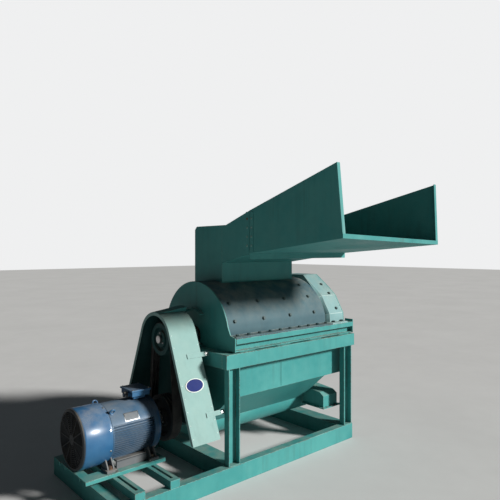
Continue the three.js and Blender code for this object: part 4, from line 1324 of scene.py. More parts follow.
@dataclass
class FeedChute(SubAssembly):
    """The inlet neck, the closed transition and the open trough, with their joint bolts and seams."""

    sheet_edge: float = 0.0012
    strap_thick: float = 0.004
    strap_edge: float = 0.0012
    bead: float = 0.0045

    def build(self) -> None:
        """Dresses the chute's sheets and adds its joints."""
        round_off("inlet_neck", self.teal, self.sheet_edge)
        round_off("feed_transition", self.teal, 0.001)
        inside = Coat(self.finishes.trough_inside, self.finishes.teal_edge, Slot.TEAL)
        round_off("feed_trough", inside, self.sheet_edge)
        self.joint_bolts()
        self.neck_weld()

    def joint_bolts(self) -> None:
        """Bolts down both sides of the joint between trough and transition."""
        low, high = node_box("feed_transition")
        joint_y = low[1]
        places: Seats = []
        for z in np.linspace(low[2] + 0.13, high[2] - 0.08, 4).tolist():
            for shift in (-0.022, 0.024):
                places.append(((low[0], joint_y + shift, z), LEFT))
        self.painted_bolts("chute_joint_bolts", places, BoltSize(0.020, 0.008, 0.013, 0.002))
        outer, inner = low[0] - self.strap_thick, low[0] - 0.0002
        foot, head = low[2] + 0.08, high[2] - 0.03
        straps = [
            block((outer, joint_y + near, foot), (inner, joint_y + far, head))
            for near, far in ((-0.038, -0.006), (0.006, 0.040))
        ]
        self.teal_plates("chute_joint_straps", straps, self.strap_edge)

    def neck_weld(self) -> None:
        """A weld bead round the neck where it stands on the drum, at the height of the drum's circle."""
        low, high = node_box("inlet_neck")
        axis = joint_point("rotor_spin")
        cover_high = node_box("main_cover")[1]
        radius = float(cover_high[2] - axis[2]) + 0.002
        bead = []
        count = 90
        y = np.linspace(low[1], high[1], count)
        z = axis[2] + np.sqrt(radius**2 - (y - axis[1]) ** 2)
        turn = np.linspace(0.0, TAU, 7, endpoint=False)
        section = self.bead * np.stack([np.cos(turn), np.sin(turn)], axis=1)
        ripple = 0.88 + 0.2 * np.abs(np.sin(np.arange(count) * 1.7))
        for x, out in ((low[0], -1.0), (high[0], 1.0)):
            path = np.stack([np.full(count, x + 0.001 * out), y, z], axis=1)
            bead.append(sweep(path, section, (out, 0.0, 0.0), scale=ripple))
        for row in (0, -1):
            start = (low[0], float(y[row]), float(z[row]))
            end = (high[0], float(y[row]), float(z[row]))
            bead.append(weld_bead(start, end, (0.0, 1.0 if row else -1.0, 0.5), self.bead))
        verts, faces = merged(bead)
        make_piece("neck_weld", verts, faces, self.finishes.teal, Body.FRAME)


@dataclass
class Discharge(SubAssembly):
    """The hopper, the screw conveyor's trough and the spout."""

    spout_bolt_inset: float = 0.013
    bearing_ring: float = 0.043
    bearing_bolt_count: int = 6

    def build(self) -> None:
        """Dresses the discharge side and bolts its flanges."""
        round_off("discharge_hopper", self.teal, 0.001)
        round_off("conveyor_trough", self.teal, 0.0012, smooth_angle=28)
        round_off("discharge_spout", self.teal, 0.001)
        paint_node("conveyor_flight", self.finishes.worn)
        paint_node("conveyor_shaft", self.finishes.bright)
        low, high = node_box("discharge_spout")
        places: Seats = []
        for x in np.linspace(low[0] + self.spout_bolt_inset, high[0] - self.spout_bolt_inset, 5).tolist():
            places.append(((x, low[1] + 0.012, low[2] + 0.006), UP))
        self.zinc_bolts("spout_bolts", places, BoltSize(0.014, 0.006, 0.0085, 0.0015))
        self.bearing_bolts()

    def bearing_bolts(self) -> None:
        """Bolts round the screw's bearing at each end of its trough."""
        axis = joint_point("screw_spin")
        low, high = node_box("conveyor_trough")
        seats: Seats = []
        step = 360 / self.bearing_bolt_count
        for angle in np.radians(np.arange(self.bearing_bolt_count) * step + 15).tolist():
            y = axis[1] + self.bearing_ring * math.cos(angle)
            z = axis[2] + self.bearing_ring * math.sin(angle)
            seats.append(((high[0], y, z), RIGHT))
            seats.append(((low[0], y, z), LEFT))
        self.zinc_bolts("screw_bearing_bolts", seats, BoltSize(0.013, 0.006, 0.008, 0.0015))


@dataclass
class Drive(SubAssembly):
    """The pulleys, the banded belt and the folded guard; angles are in degrees."""

    grooves: int = 3
    groove_width: float = 0.016
    groove_depth: float = 0.014
    groove_slant: float = 0.0025
    web_inset: float = 0.030
    hub_wall: float = 0.032
    screw_ring: float = 0.016
    rivet_inset: float = 0.012
    stay_inset: float = 0.022
    land: float = 0.009
    splay: float = 22.4
    crown_radius: float = 0.2
    lid_angles: tuple[float, float] = (104, 58)
    lid_gap: float = 0.0012
    lid_flare: float = 0.032
    lid_thick: float = 0.0016
    badge_half: tuple[float, float] = (0.074, 0.046)
    stay_heights: tuple[float, float] = (0.870, 0.495)
    slope_top: float = 1.036

    def build(self) -> None:
        """Dresses the drive and adds the guard's badge, lid and bolts."""
        # The driven pulley is teal but takes the guard's dark inner colour: painted shade.
        self.pulley("driven_pulley", self.finishes.guard_inside_shade, Body.ROTOR, Slot.TEAL, "rotor_spin", 0.027)
        self.pulley("motor_pulley", self.finishes.black, Body.MOTOR_ROTOR, Slot.BLACK, "motor_spin", 0.0275)
        self.belt()
        self.guard()

    def pulley(
        self, node: str, material: bpy.types.Material, body: Body, slot: Slot, joint: str, bore: float
    ) -> None:
        """A grooved pulley: rim with V grooves, a dished web, a hub, and a split bush held by three screws.

        Args:
            node: The frame part that it stands for.
            material: Its paint.
            body: The body that it turns with.
            slot: The record's slot; not used.
            joint: The joint that gives its axis.
            bore: Its bore's radius.
        """
        low, high = node_box(node)
        centre = joint_point(joint)
        radius = float(high[2] - low[2]) / 2
        left, right = low[0], high[0]
        slant = self.groove_slant
        rim = [(left, radius - 0.030), (left, radius - 0.001), (left + 0.001, radius)]
        for i in range(self.grooves):
            x = left + self.land + i * (self.groove_width + self.land)
            rim += [
                (x, radius), (x + slant, radius - self.groove_depth),
                (x + self.groove_width - slant, radius - self.groove_depth), (x + self.groove_width, radius),
            ]
        rim += [(right - 0.001, radius), (right, radius - 0.001), (right, radius - 0.030)]
        web_right, web_left = right - self.web_inset, left + self.web_inset
        hub = bore + self.hub_wall
        rim += [
            (web_right + 0.006, radius - 0.034), (web_right, radius - 0.042), (web_right, hub + 0.008),
            (web_right + 0.006, hub), (right - 0.006, hub - 0.002), (right - 0.006, bore + 0.0004),
            (left + 0.004, bore + 0.0004), (left + 0.004, hub - 0.002), (web_left - 0.006, hub),
            (web_left, hub + 0.008), (web_left, radius - 0.042), (web_left - 0.006, radius - 0.034),
        ]
        verts, faces = turned(rim, centre, 72)
        piece = make_piece(f"{node}_finished", verts, faces, material, body)
        piece.data.set_sharp_from_angle(angle=math.radians(34))
        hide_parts(node)
        bevelled(piece, 0.0006)
        turns = np.radians([90.0, 210.0, 330.0])
        ring = bore + self.screw_ring
        seats: Seats = [
            (
                (left + 0.003, float(centre[1] + ring * math.cos(t)), float(centre[2] + ring * math.sin(t))),
                LEFT
            )
            for t in turns.tolist()
        ]
        size = BoltSize(0.012, 0.006, 0.0075, 0.0015)
        bolt_group(f"{node}_bush_screws", seats, size, self.finishes.zinc, body)

    def belt(self) -> None:
        """The banded V-belt: its ribbed section swept along both pulleys' arcs and the runs between."""
        upper, lower = joint_point("rotor_spin"), joint_point("motor_spin")
        upper_low, upper_high = node_box("driven_pulley")
        lower_low, lower_high = node_box("motor_pulley")
        upper_radius = float(upper_high[2] - upper_low[2]) / 2
        lower_radius = float(lower_high[2] - lower_low[2]) / 2
        slant = math.degrees(math.asin((lower_radius - upper_radius) / float(upper[2] - lower[2])))
        top = arc_points(upper[1:], upper_radius, slant, 180 - slant, 40)
        bottom = arc_points(lower[1:], lower_radius, 180 - slant, 360 + slant, 60)
        runs = 24
        share = np.linspace(0.0, 1.0, runs + 2)[1:-1, None]
        rear = top[-1] + share * (bottom[0] - top[-1])
        front = bottom[-1] + share * (top[0] - bottom[-1])
        loop = np.concatenate([top, rear, bottom, front])
        left, right = upper_low[0], upper_high[0]
        path = np.concatenate([np.full((len(loop), 1), (left + right) / 2), loop], axis=1)
        half = (right - left) / 2 - 0.006
        section = [(0.0045, -half), (0.0045, half), (0.001, half)]
        for i in reversed(range(self.grooves)):
            x = left + self.land + i * (self.groove_width + self.land) - (left + right) / 2
            section += [
                (0.001, x + 0.0135), (-0.0115, x + 0.0115), (-0.0115, x + 0.0045), (0.001, x + 0.0025)
            ]
        section.append((0.001, -half))
        outline = np.array(section)
        centre = path.mean(axis=0)
        side, _ = frames_along(path, RIGHT, closed=True)
        outwards = float(np.sum(side[0] * (path[0] - centre))) > 0.0
        outline[:, 0] *= 1.0 if outwards else -1.0
        verts, faces = sweep(path, outline, RIGHT, closed=True)
        belt = make_piece("drive_belt_finished", verts, faces, self.finishes.rubber, None)
        belt.data.set_sharp_from_angle(angle=math.radians(40))
        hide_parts("drive_belt")
        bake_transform(belt)

    def guard(self) -> None:
        """The folded guard: pale mint outside, which stands in for glare on its teal paint (painted reflection),
        and dark inside, which is painted shade; with its lid, badge, rivets and stay bolts.
        """
        # The guard's slopes take the pale mint, which is painted glare; its top sheet keeps the teal.
        piece = round_off("belt_guard", self.mint_glare, 0.0011, smooth_angle=28)
        low, high = node_box("belt_guard")
        self.paint_inner_shade(piece, low, high)
        self.guard_lid(low, high)
        self.guard_badge(low)
        self.guard_bolts(low)

    def paint_inner_shade(self, piece: bpy.types.Object, low: np.ndarray, high: np.ndarray) -> None:
        """Gives the faces that look into the guard a dark teal that stands for the shade inside it: painted shade.

        A face looks inwards where its normal points to the middle, or where it is the back plate's near side.

        Args:
            piece: The guard.
            low: Its lowest corner.
            high: Its highest corner.
        """
        mesh = piece.data
        mesh.materials.append(self.finishes.guard_inside_shade)
        count = len(mesh.polygons)
        centres = np.empty(count * 3)
        normals = np.empty(count * 3)
        mesh.polygons.foreach_get("center", centres)
        mesh.polygons.foreach_get("normal", normals)
        centres, normals = centres.reshape(-1, 3), normals.reshape(-1, 3)
        middle = np.array([0.0, float(low[1] + high[1]) / 2, high[2] - 0.2])
        to_middle = middle - centres
        inwards = np.einsum("ij,ij->i", normals[:, 1:], to_middle[:, 1:]) > 0.0
        band = (np.abs(normals[:, 0]) < 0.3) & inwards & (centres[:, 1] > low[1] + 0.02)
        back = (normals[:, 0] < -0.8) & (centres[:, 0] > low[0] + 0.1)
        # Faces that look into the guard get the dark colour: painted shade.
        index = np.where(band | back, 2, 0).astype(np.int32)
        mesh.polygons.foreach_set("material_index", index)

    def guard_lid(self, low: np.ndarray, high: np.ndarray) -> None:
        """The teal top sheet: ruled from the guard's near rim up to a larger arc at its back edge.

        Args:
            low: The guard's lowest corner.
            high: Its highest corner.
        """
        radius = self.crown_radius
        crown = (self.guard_middle(low, high), high[2] - radius)
        count = 34
        near = arc_points(crown, radius + self.lid_gap, *self.lid_angles, count)
        far = arc_points(crown, radius + self.lid_flare, *self.lid_angles, count)
        left, right = low[0] + 0.004, self.guard_back() + 0.012
        first = np.concatenate([np.full((count, 1), left), near], axis=1)
        second = np.concatenate([np.full((count, 1), right), far], axis=1)
        verts, faces = sheet_between(first, second, self.lid_thick)
        lid = make_piece("guard_top_sheet", verts, faces, self.finishes.teal, Body.FRAME)
        lid.data.set_sharp_from_angle(angle=math.radians(40))
        cheeks = []
        for angle in self.lid_angles:
            foot = arc_points(crown, radius + 0.0008, angle, angle, 1)[0]
            top = arc_points(crown, radius + self.lid_flare, angle, angle, 1)[0]
            near_foot = arc_points(crown, radius + self.lid_gap, angle, angle, 1)[0]
            lean = self.lid_thick if angle > 90 else -self.lid_thick
            face = np.array([(left, *near_foot), (right, *foot), (right, *top)])
            corners = np.concatenate([face, face + np.array([0.0, lean, 0.0])])
            sides = [[0, 1, 2], [3, 5, 4], [0, 3, 4, 1], [1, 4, 5, 2], [2, 5, 3, 0]]
            cheeks.append((corners, facing_out(corners, sides)))
        self.teal_plates("guard_top_cheeks", cheeks, bevel=0.0)

    @staticmethod
    def guard_middle(low: np.ndarray, high: np.ndarray) -> float:
        """The Y of the guard's middle line, halfway between its feet."""
        return float(low[1] + high[1]) / 2

    @staticmethod
    def guard_back() -> float:
        """The X of the guard's back plate, just left of the bearing's rail."""
        return float(node_box("top_rail_left")[0][0]) - 0.06

    def slope_point(self, low: np.ndarray, high: np.ndarray, share: float) -> tuple[np.ndarray, Point]:
        """A point on the guard's front slope and the way outwards there.

        Args:
            low: The guard's lowest corner.
            high: Its highest corner.
            share: 0 at the slope's foot and 1 where it meets the round top.

        Returns:
            The (y, z) pair and the outward direction.
        """
        turn = math.radians(180 - self.splay)
        radius = self.crown_radius
        crown = np.array([self.guard_middle(low, high), high[2] - radius])
        top = crown + radius * np.array([math.cos(turn), math.sin(turn)])
        foot = np.array([low[1], low[2]])
        return foot + share * (top - foot), (0.0, math.cos(turn), math.sin(turn))

    def guard_badge(self, low: np.ndarray) -> None:
        """A plain oval badge on the front slope: a domed blue field in a raised pale rim.

        Args:
            low: The guard's lowest corner.
        """
        high = node_box("belt_guard")[1]
        at, out = self.slope_point(low, high, 0.50)
        axis = np.array(out)
        along = np.cross(np.array([1.0, 0.0, 0.0]), axis)
        centre = np.array([(low[0] + self.guard_back()) / 2, at[0], at[1]])
        count = 64
        turn = np.linspace(0.0, TAU, count, endpoint=False)
        half_x, half_up = self.badge_half
        field_rings = ((0.90, 0.0), (0.90, 0.0022), (0.60, 0.0032), (0.30, 0.0036))
        rim_rings = ((1.0, 0.0), (1.0, 0.0030), (0.97, 0.0036), (0.93, 0.0036), (0.90, 0.0030), (0.90, 0.0))
        for name, rings, material in (
            ("guard_badge_field", field_rings, self.finishes.badge),
            ("guard_badge_rim", rim_rings, self.finishes.badge_rim),
        ):
            shells = [
                centre
                + axis * (lift + 0.0012)
                + size * half_x * np.cos(turn)[:, None] * np.array([1.0, 0.0, 0.0])
                + size * half_up * np.sin(turn)[:, None] * along
                for size, lift in rings
            ]
            verts = np.concatenate(shells)
            ring_shaped = name.endswith("rim")
            faces = grid_faces(len(rings), count, ring_shaped, True).tolist()
            if not ring_shaped:
                faces.append(list(range(count)))
                faces.append(list(range(len(rings) * count - 1, (len(rings) - 1) * count - 1, -1)))
            piece = make_piece(name, verts, facing_out(verts, faces), material, Body.FRAME)
            piece.data.set_sharp_from_angle(angle=math.radians(50))

    def guard_bolts(self, low: np.ndarray) -> None:
        """A bolt through each stay's outer end and small rivets down the slope's two edges.

        Args:
            low: The guard's lowest corner.
        """
        high = node_box("belt_guard")[1]
        rivets: Seats = []
        for share in np.linspace(0.06, 0.97, 9).tolist():
            at, out = self.slope_point(low, high, share)
            for x in (low[0] + self.rivet_inset, self.guard_back() - self.rivet_inset):
                rivets.append(((x, float(at[0]), float(at[1])), out))
        size = BoltSize(0.0075, 0.0022, 0.0045, 0.0006)
        bolt_group("guard_rivets", rivets, size, self.finishes.mint_glare_edge, Body.FRAME)
        rail = float(node_box("top_rail_left")[0][0])
        leg = float(node_box("leg_front_left")[0][0])
        stays: Seats = []
        foot, proud = low[2], 0.0062
        for edge, z in zip((rail, leg), self.stay_heights):
            slope, out = self.slope_point(low, high, (z - foot) / (self.slope_top - foot))
            at = (edge - self.stay_inset, slope[0] + proud * out[1], slope[1] + proud * out[2])
            stays.append((at, out))
        self.zinc_bolts("guard_stay_bolts", stays, BoltSize(0.019, 0.009, 0.012, 0.002))


@dataclass
class Motor(SubAssembly):
    """The foot-mounted motor, its slide rails and its base frame."""

    core_radius: float = 0.170
    fin_radius: float = 0.1875
    fin_pitch: float = 0.0145
    fin_half: float = 0.0022
    cap_thick: float = 0.004
    cap_gap: float = 0.0004
    bolt_inset: float = 0.022
    shield_bolt_ring: float = 0.166
    gland_height: float = 0.622
    plate_angles: tuple[float, float] = (151.5, 133.5)
    axis: np.ndarray = field(default_factory=lambda: joint_point("motor_spin"))

    def build(self) -> None:
        """Dresses the motor and its base."""
        self.slides()
        round_off("motor_base", self.teal, 0.0018, Body.MOTOR)
        self.barrel()
        self.feet()
        round_off("motor_end_shield", self.blue, 0.0030, Body.MOTOR, smooth_angle=24)
        self.fan_cowl()
        round_off("terminal_box", self.blue, 0.0050, Body.MOTOR)
        round_off("terminal_lid", self.blue, 0.0030, Body.MOTOR)
        paint_node("motor_fan", self.finishes.black)
        paint_node("motor_shaft", self.finishes.bright)
        self.fasteners()
        self.nameplate()

    def slides(self) -> None:
        """Dresses the slide rails, closes their ends, and bolts the motor's base to them."""
        parts = []
        base_low, base_high = node_box("motor_base")
        seats: Seats = []
        for node in ("slide_rail_left", "slide_rail_right"):
            round_off(node, self.teal, 0.0018)
            low, high = node_box(node)
            for y in (low[1] + self.cap_gap, high[1] - self.cap_gap - self.cap_thick):
                near = (low[0] + 0.001, y, low[2] + 0.0005)
                parts.append(block(near, (high[0] - 0.001, y + self.cap_thick, high[2] - 0.0008)))
            middle = float(low[0] + high[0]) / 2
            for y in (base_low[1] + self.bolt_inset, base_high[1] - self.bolt_inset):
                seats.append(((middle, y, base_high[2]), UP))
        self.teal_plates("slide_rail_caps", parts)
        self.zinc_bolts("motor_base_bolts", seats, BoltSize(0.024, 0.012, 0.0155, 0.003), Body.MOTOR)

    def barrel(self) -> None:
        """The ribbed barrel: a core with end collars, a smooth saddle on top, and level fins at its sides.

        A fin at height h runs out to y = sqrt(radius^2 - h^2), so the tips lie on one round.
        """
        left = float(node_box("motor_fan_cowl")[1][0]) + 0.0004
        right = float(node_box("motor_frame")[1][0])
        core = self.core_radius
        collar = self.fin_radius
        profile = [
            (left, 0.150), (left, collar - 0.006), (left + 0.004, collar - 0.003),
            (left + 0.012, collar - 0.003),
            (left + 0.014, core), (right - 0.030, core), (right - 0.026, collar + 0.0005),
            (right - 0.002, collar + 0.0005), (right, collar - 0.002), (right, 0.150),
        ]
        parts = [turned(profile, self.axis, 120)]
        x0, x1 = left + 0.006, right - 0.020
        for angles in ((26.0, 154.0), (244.0, 296.0)):
            outer = arc_points(self.axis[1:], collar - 0.0015, angles[0], angles[1], 60)
            inner = arc_points(self.axis[1:], core - 0.006, angles[1], angles[0], 60)
            parts.append(prism_along_x(np.concatenate([outer, inner]), x0, x1))
        heights = np.arange(-9, 6) * self.fin_pitch - 0.004
        for height in heights.tolist():
            thick = self.fin_half
            tip = math.sqrt(collar**2 - (abs(height) + thick) ** 2)
            root = math.sqrt((core - 0.004) ** 2 - height**2)
            for side in (-1.0, 1.0):
                outline = np.array([
                    (side * root, height - thick), (side * (tip - 0.001), height - 0.6 * thick),
                    (side * tip, height),
                    (side * (tip - 0.001), height + 0.6 * thick), (side * root, height + thick),
                ])
                parts.append(prism_along_x(outline + self.axis[1:], x0, x1))
        verts, faces = merged(parts)
        piece = make_piece("motor_barrel", verts, faces, self.finishes.fins, Body.MOTOR)
        piece.data.set_sharp_from_angle(angle=math.radians(30))
        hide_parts("motor_frame")
        self.lifting_eyes(left)

    def lifting_eyes(self, left: float) -> None:
        """Two eye bolts beside the cowl: each a ring swept round a circle that stands off a turned boss.

        Args:
            left: Where the barrel starts.
        """
        x = left + 0.022
        ring, wire, stand = 0.016, 0.0052, 0.002
        turn = np.linspace(0.0, TAU, 36, endpoint=False)
        around = np.linspace(0.0, TAU, 10, endpoint=False)
        section = wire * np.stack([np.cos(around), np.sin(around)], axis=1)
        parts = []
        for angle in np.radians([128.0, 52.0]).tolist():
            out = np.array([0.0, math.cos(angle), math.sin(angle)])
            seat = np.array([x, self.axis[1], self.axis[2]]) + (self.fin_radius - 0.003) * out
            along = np.array([1.0, 0.0, 0.0])
            centre = seat + (stand + ring + wire) * out
            path = centre + ring * (np.cos(turn)[:, None] * along + np.sin(turn)[:, None] * out)
            parts.append(sweep(path, section, tuple(np.cross(along, out).tolist()), closed=True))
            foot = BoltSize(0.026, 0.006, 0.015, 0.003)
            parts.append(foot.mesh(tuple(seat.tolist()), tuple(out.tolist())))
        verts, faces = merged(parts)
        piece = make_piece(
            "motor_lifting_eyes", verts, faces, self.finishes.blue, Body.MOTOR
        )
        piece.data.set_sharp_from_angle(angle=math.radians(45))

    def feet(self) -> None:
        """The foot rails: plates with skirts and gusset ribs, and the bolts that hold them to the base."""
        low, high = node_box("motor_frame")
        base = low[2]
        left, right = low[0], high[0]
        rear_x, front_x = left + 0.030, right - 0.037
        parts = []
        bolts: Seats = []
        for side in (-1.0, 1.0):
            y_of = (lambda distance, s=side: self.axis[1] + s * distance)
            for x in (rear_x, front_x):
                y0, y1 = sorted((y_of(0.105), y_of(0.194)))
                parts.append(block((x - 0.034, y0, base), (x + 0.034, y1, base + 0.0165)))
                for rib in (-0.024, 0.014):
                    outline = np.array([
                        (y_of(0.092), base + 0.016), (y_of(0.176), base + 0.016), (y_of(0.172), base + 0.030),
                        (y_of(0.132), base + 0.085), (y_of(0.092), base + 0.102),
                    ])
                    parts.append(prism_along_x(outline, x + rib, x + rib + 0.010))
                bolts.append(((x, y_of(0.159), base + 0.0165), UP))
            y0, y1 = sorted((y_of(0.148), y_of(0.162)))
            parts.append(block((rear_x + 0.046, y0, base), (front_x - 0.046, y1, base + 0.052)))
            y0, y1 = sorted((y_of(0.120), y_of(0.162)))
            parts.append(block((rear_x + 0.046, y0, base + 0.044), (front_x - 0.046, y1, base + 0.056)))
        verts, faces = merged(parts)
        feet = make_piece("motor_feet", verts, faces, self.finishes.bare_casting, Body.MOTOR)
        feet.data.set_sharp_from_angle(angle=math.radians(30))
        bevelled(feet, 0.0022)
        size = BoltSize(0.030, 0.015, 0.019, 0.0035)
        bolt_group("motor_foot_bolts", bolts, size, self.finishes.rusty_bolt, Body.MOTOR)

    def fan_cowl(self) -> None:
        """The fan cowl: a rolled shell with a beaded rim, a dark grille of rings and spokes, and a near-black disc
        behind the grille that stands for the shade inside the cowl: painted shade.
        """
        low, high = node_box("motor_fan_cowl")
        left, right = low[0], high[0]
        radius = float(high[2] - low[2]) / 2
        shell = [
            (left + 0.010, radius - 0.012), (left + 0.011, radius - 0.005), (left + 0.016, radius - 0.001),
            (left + 0.024, radius), (right - 0.022, radius), (right - 0.018, radius - 0.002),
            (right - 0.006, radius - 0.002),
            (right, radius - 0.003), (right, radius - 0.0055), (right - 0.020, radius - 0.0055),
            (left + 0.024, radius - 0.003),
            (left + 0.016, radius - 0.012),
        ]
        verts, faces = turned(shell, self.axis, 128)
        cowl = make_piece("motor_cowl_shell", verts, faces, self.finishes.blue, Body.MOTOR)
        cowl.data.set_sharp_from_angle(angle=math.radians(40))
        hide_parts("motor_fan_cowl")
        parts = []
        rim = [
            (left + 0.0005, radius - 0.020), (left + 0.0005, radius - 0.009), (left + 0.006, radius - 0.003),
            (left + 0.014, radius - 0.002), (left + 0.014, radius - 0.0125), (left + 0.007, radius - 0.020),
        ]
        parts.append(turned(rim, self.axis, 128))
        for ring in np.arange(0.040, radius - 0.018, 0.0125).tolist():
            half = 0.0018
            wire = [
                (left + 0.003, ring), (left + 0.0045, ring + half), (left + 0.0068, ring + half),
                (left + 0.008, ring), (left + 0.0068, ring - half), (left + 0.0045, ring - half),
            ]
            parts.append(turned(wire, self.axis, 72))
        hub = [
            (left + 0.001, 0.004), (left + 0.001, 0.028), (left + 0.004, 0.034), (left + 0.009, 0.034),
            (left + 0.009, 0.004)
        ]
        parts.append(turned(hub, self.axis, 48))
        for angle in np.radians(np.arange(0, 360, 30)).tolist():
            out = np.array([0.0, math.cos(angle), math.sin(angle)])
            across = np.array([0.0, -math.sin(angle), math.cos(angle)])
            middle = np.array([0.0, self.axis[1], self.axis[2]])
            corners = []
            for x in (left + 0.0015, left + 0.0085):
                for reach in (0.030, radius - 0.012):
                    for half in (-0.0024, 0.0024):
                        corners.append(middle + np.array([x, 0.0, 0.0]) + reach * out + half * across)
            sides = [[0, 1, 3, 2], [4, 6, 7, 5], [0, 4, 5, 1], [2, 3, 7, 6], [0, 2, 6, 4], [1, 5, 7, 3]]
            verts = np.array(corners)
            parts.append((verts, facing_out(verts, sides)))
        verts, faces = merged(parts)
        grille = make_piece(
            "motor_cowl_grille", verts, faces, self.finishes.black, Body.MOTOR
        )
        grille.data.set_sharp_from_angle(angle=math.radians(35))
        # A solid near-black disc behind the grille stands for the shade inside the cowl: painted shade.
        shade_disc = [
            (left + 0.018, 0.024), (left + 0.018, radius - 0.013), (left + 0.020, radius - 0.013),
            (left + 0.020, 0.024)
        ]
        verts, faces = turned(shade_disc, self.axis, 96)
        make_piece(
            "motor_cowl_screen", verts, faces, self.finishes.cowl_shade, Body.MOTOR,
            smooth=False
        )

    def fasteners(self) -> None:
        """End-shield bolts, cowl screws, lid screws and the cable gland's nut."""
        x = float(node_box("motor_end_shield")[0][0]) + 0.0215
        ring = arc_points(self.axis[1:], self.shield_bolt_ring, 30, 330, 6).tolist()
        seats: Seats = [((x, y, z), RIGHT) for y, z in ring]
        self.zinc_bolts("motor_shield_bolts", seats, BoltSize(0.019, 0.010, 0.0125, 0.002), Body.MOTOR)
        cowl_low, cowl_high = node_box("motor_fan_cowl")
        radius = float(cowl_high[2] - cowl_low[2]) / 2 - 0.0022
        cowl_seats: Seats = []
        for t in np.radians([20.0, 110.0, 160.0, 200.0, 290.0, 340.0]).tolist():
            out = (0.0, math.cos(t), math.sin(t))
            at = (
                cowl_high[0] - 0.012, self.axis[1] + radius * out[1],
                self.axis[2] + radius * out[2]
            )
            cowl_seats.append((at, out))
        self.zinc_bolts("motor_cowl_screws", cowl_seats, BoltSize(0.010, 0.0045, 0.0065, 0.0012), Body.MOTOR)
        lid_low, lid_high = node_box("terminal_lid")
        inset = 0.014
        corners = [
            (float(x), float(y))
            for x in (lid_low[0] + inset, lid_high[0] - inset)
            for y in (lid_low[1] + inset, lid_high[1] - inset)
        ]
        lid_seats = [((x, y, lid_high[2]), UP) for x, y in corners]
        self.zinc_bolts("terminal_lid_screws", lid_seats, BoltSize(0.011, 0.005, 0.007, 0.0012), Body.MOTOR)
        box_low, _ = node_box("terminal_box")
        gland_y, gland_z = self.axis[1] - 0.020, self.gland_height
        left = box_low[0]
        nut = [
            (left - 0.001, 0.0085), (left - 0.001, 0.0165), (left + 0.004, 0.0185), (left + 0.015, 0.0185),
            (left + 0.015, 0.0205), (left + 0.022, 0.0205), (left + 0.022, 0.0165), (left + 0.006, 0.0085),
        ]
        verts, faces = turned(nut, np.array([0.0, gland_y, gland_z]), 18)
        gland = make_piece("cable_gland", verts, faces, self.finishes.black, Body.MOTOR)
        gland.data.set_sharp_from_angle(angle=math.radians(18))

    def nameplate(self) -> None:
        """A blank metal plate bent round the saddle, held by four rivets."""
        x0 = float(node_box("motor_frame")[1][0]) - 0.235
        x1 = x0 + 0.105
        radius = self.fin_radius
        for name, inset, lift, material in (
            ("motor_nameplate", 0.0, 0.0, self.finishes.plate),
            ("motor_nameplate_field", 0.006, 0.0009, self.finishes.plate_field),
        ):
            angle = math.degrees(inset / radius)
            top, foot = self.plate_angles
            first = arc_points(self.axis[1:], radius - 0.0012 + lift, top - angle, foot + angle, 16)
            left = np.concatenate([np.full((16, 1), x0 + inset), first], axis=1)
            right = np.concatenate([np.full((16, 1), x1 - inset), first], axis=1)
            verts, faces = sheet_between(left, right, 0.0008)
            plate = make_piece(name, verts, faces, material, Body.MOTOR)
            plate.data.set_sharp_from_angle(angle=math.radians(40))
        rivets: Seats = []
        for x in (x0 + 0.003, x1 - 0.003):
            for degrees in (135.0, 150.0):
                turn = math.radians(degrees)
                out = (0.0, math.cos(turn), math.sin(turn))
                at = (x, self.axis[1] + radius * out[1], self.axis[2] + radius * out[2])
                rivets.append((at, out))
        self.zinc_bolts("nameplate_rivets", rivets, BoltSize(0.0048, 0.0018, 0.0028, 0.0004), Body.MOTOR)


@dataclass
class Rotor(SubAssembly):
    """The rotor inside the housing: shaft, discs, hammers, liner, screen and fan wheel."""

    rows: int = 4

    def build(self) -> None:
        """Gives the inner parts their finishes."""
        for node in ("rotor_discs", "breaker_liner", "screen"):
            paint_node(node, self.finishes.worn)
        for row in range(1, self.rows + 1):
            paint_node(f"hammer_row_{row}", self.finishes.worn)
            paint_node(f"hammer_rod_{row}", self.finishes.bright)
        paint_node("rotor_shaft", self.finishes.bright)
        paint_node("fan_wheel", self.finishes.teal)


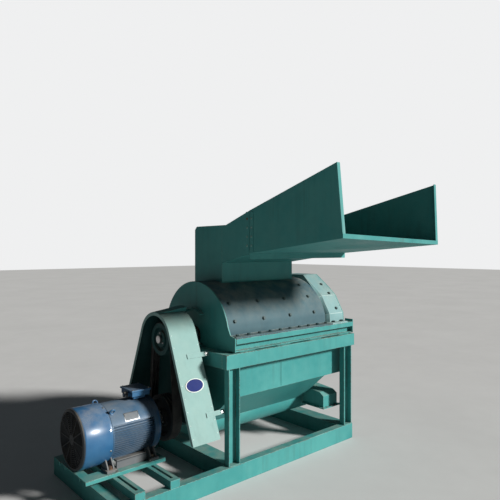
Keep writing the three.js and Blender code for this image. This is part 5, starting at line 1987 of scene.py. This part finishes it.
@dataclass
class Studio:
    """The pale floor, the soft light and the camera."""

    finishes: Finishes
    eye: Point = (-2.4335, -2.7568, 1.60)
    heading: float = -41.6
    lens: float = 36.43
    sun_from: Point = (0.50, -0.80, 0.42)
    sun_strength: float = 5.6
    sun_spread: float = 8.0
    floor_half: float = 40.0

    def build(self) -> None:
        """Sets up the floor, the lights and the camera."""
        half = self.floor_half
        verts = np.array([[-half, -half, 0.0], [half, -half, 0.0], [half, half, 0.0], [-half, half, 0.0]])
        floor = make_piece("floor", verts, [[0, 1, 2, 3]], self.finishes.floor, None, smooth=False)
        self.light()
        camera = bpy.data.objects.new("camera", bpy.data.cameras.new("camera"))
        camera.location = self.eye
        camera.rotation_euler = (math.radians(90), 0.0, math.radians(self.heading))
        camera.data.lens = self.lens
        camera.data.sensor_width = 36.0
        bpy.context.scene.collection.objects.link(camera)
        bpy.context.scene.camera = camera

    def light(self) -> None:
        """A low soft sun from the front right and a pale even surround."""
        sun = bpy.data.objects.new("key_light", bpy.data.lights.new("key_light", "SUN"))
        sun.data.energy = self.sun_strength
        sun.data.angle = math.radians(self.sun_spread)
        sun.data.color = (1.0, 0.985, 0.955)
        sun.rotation_euler = Vector(self.sun_from).to_track_quat("Z", "Y").to_euler()
        bpy.context.scene.collection.objects.link(sun)
        world = bpy.data.worlds.new("studio")
        world.use_nodes = True
        world.node_tree.nodes.clear()
        tree = Tree(world.node_tree)
        seen = tree.add("ShaderNodeBackground", {"Color": (0.94, 0.945, 0.95, 1.0), "Strength": 0.92})
        lit = tree.add("ShaderNodeBackground", {"Color": (0.80, 0.91, 1.0, 1.0), "Strength": 0.055})
        path = tree.add("ShaderNodeLightPath")
        both = tree.add(
            "ShaderNodeMixShader", {0: path.outputs["Is Camera Ray"], 1: lit.outputs[0], 2: seen.outputs[0]}
        )
        out = tree.add("ShaderNodeOutputWorld")
        world.node_tree.links.new(both.outputs[0], out.inputs[0])
        bpy.context.scene.world = world
        bpy.context.scene.view_settings.view_transform = "Standard"


def main() -> None:
    """Builds every sub-assembly, then the studio."""
    finishes = Finishes()
    for kind in (Skid, Stand, Housing, FeedChute, Discharge, Drive, Motor, Rotor):
        log.info("building %s", kind.__name__)
        kind(finishes).build()
    Studio(finishes).build()


if __name__ == "__main__":
    main()
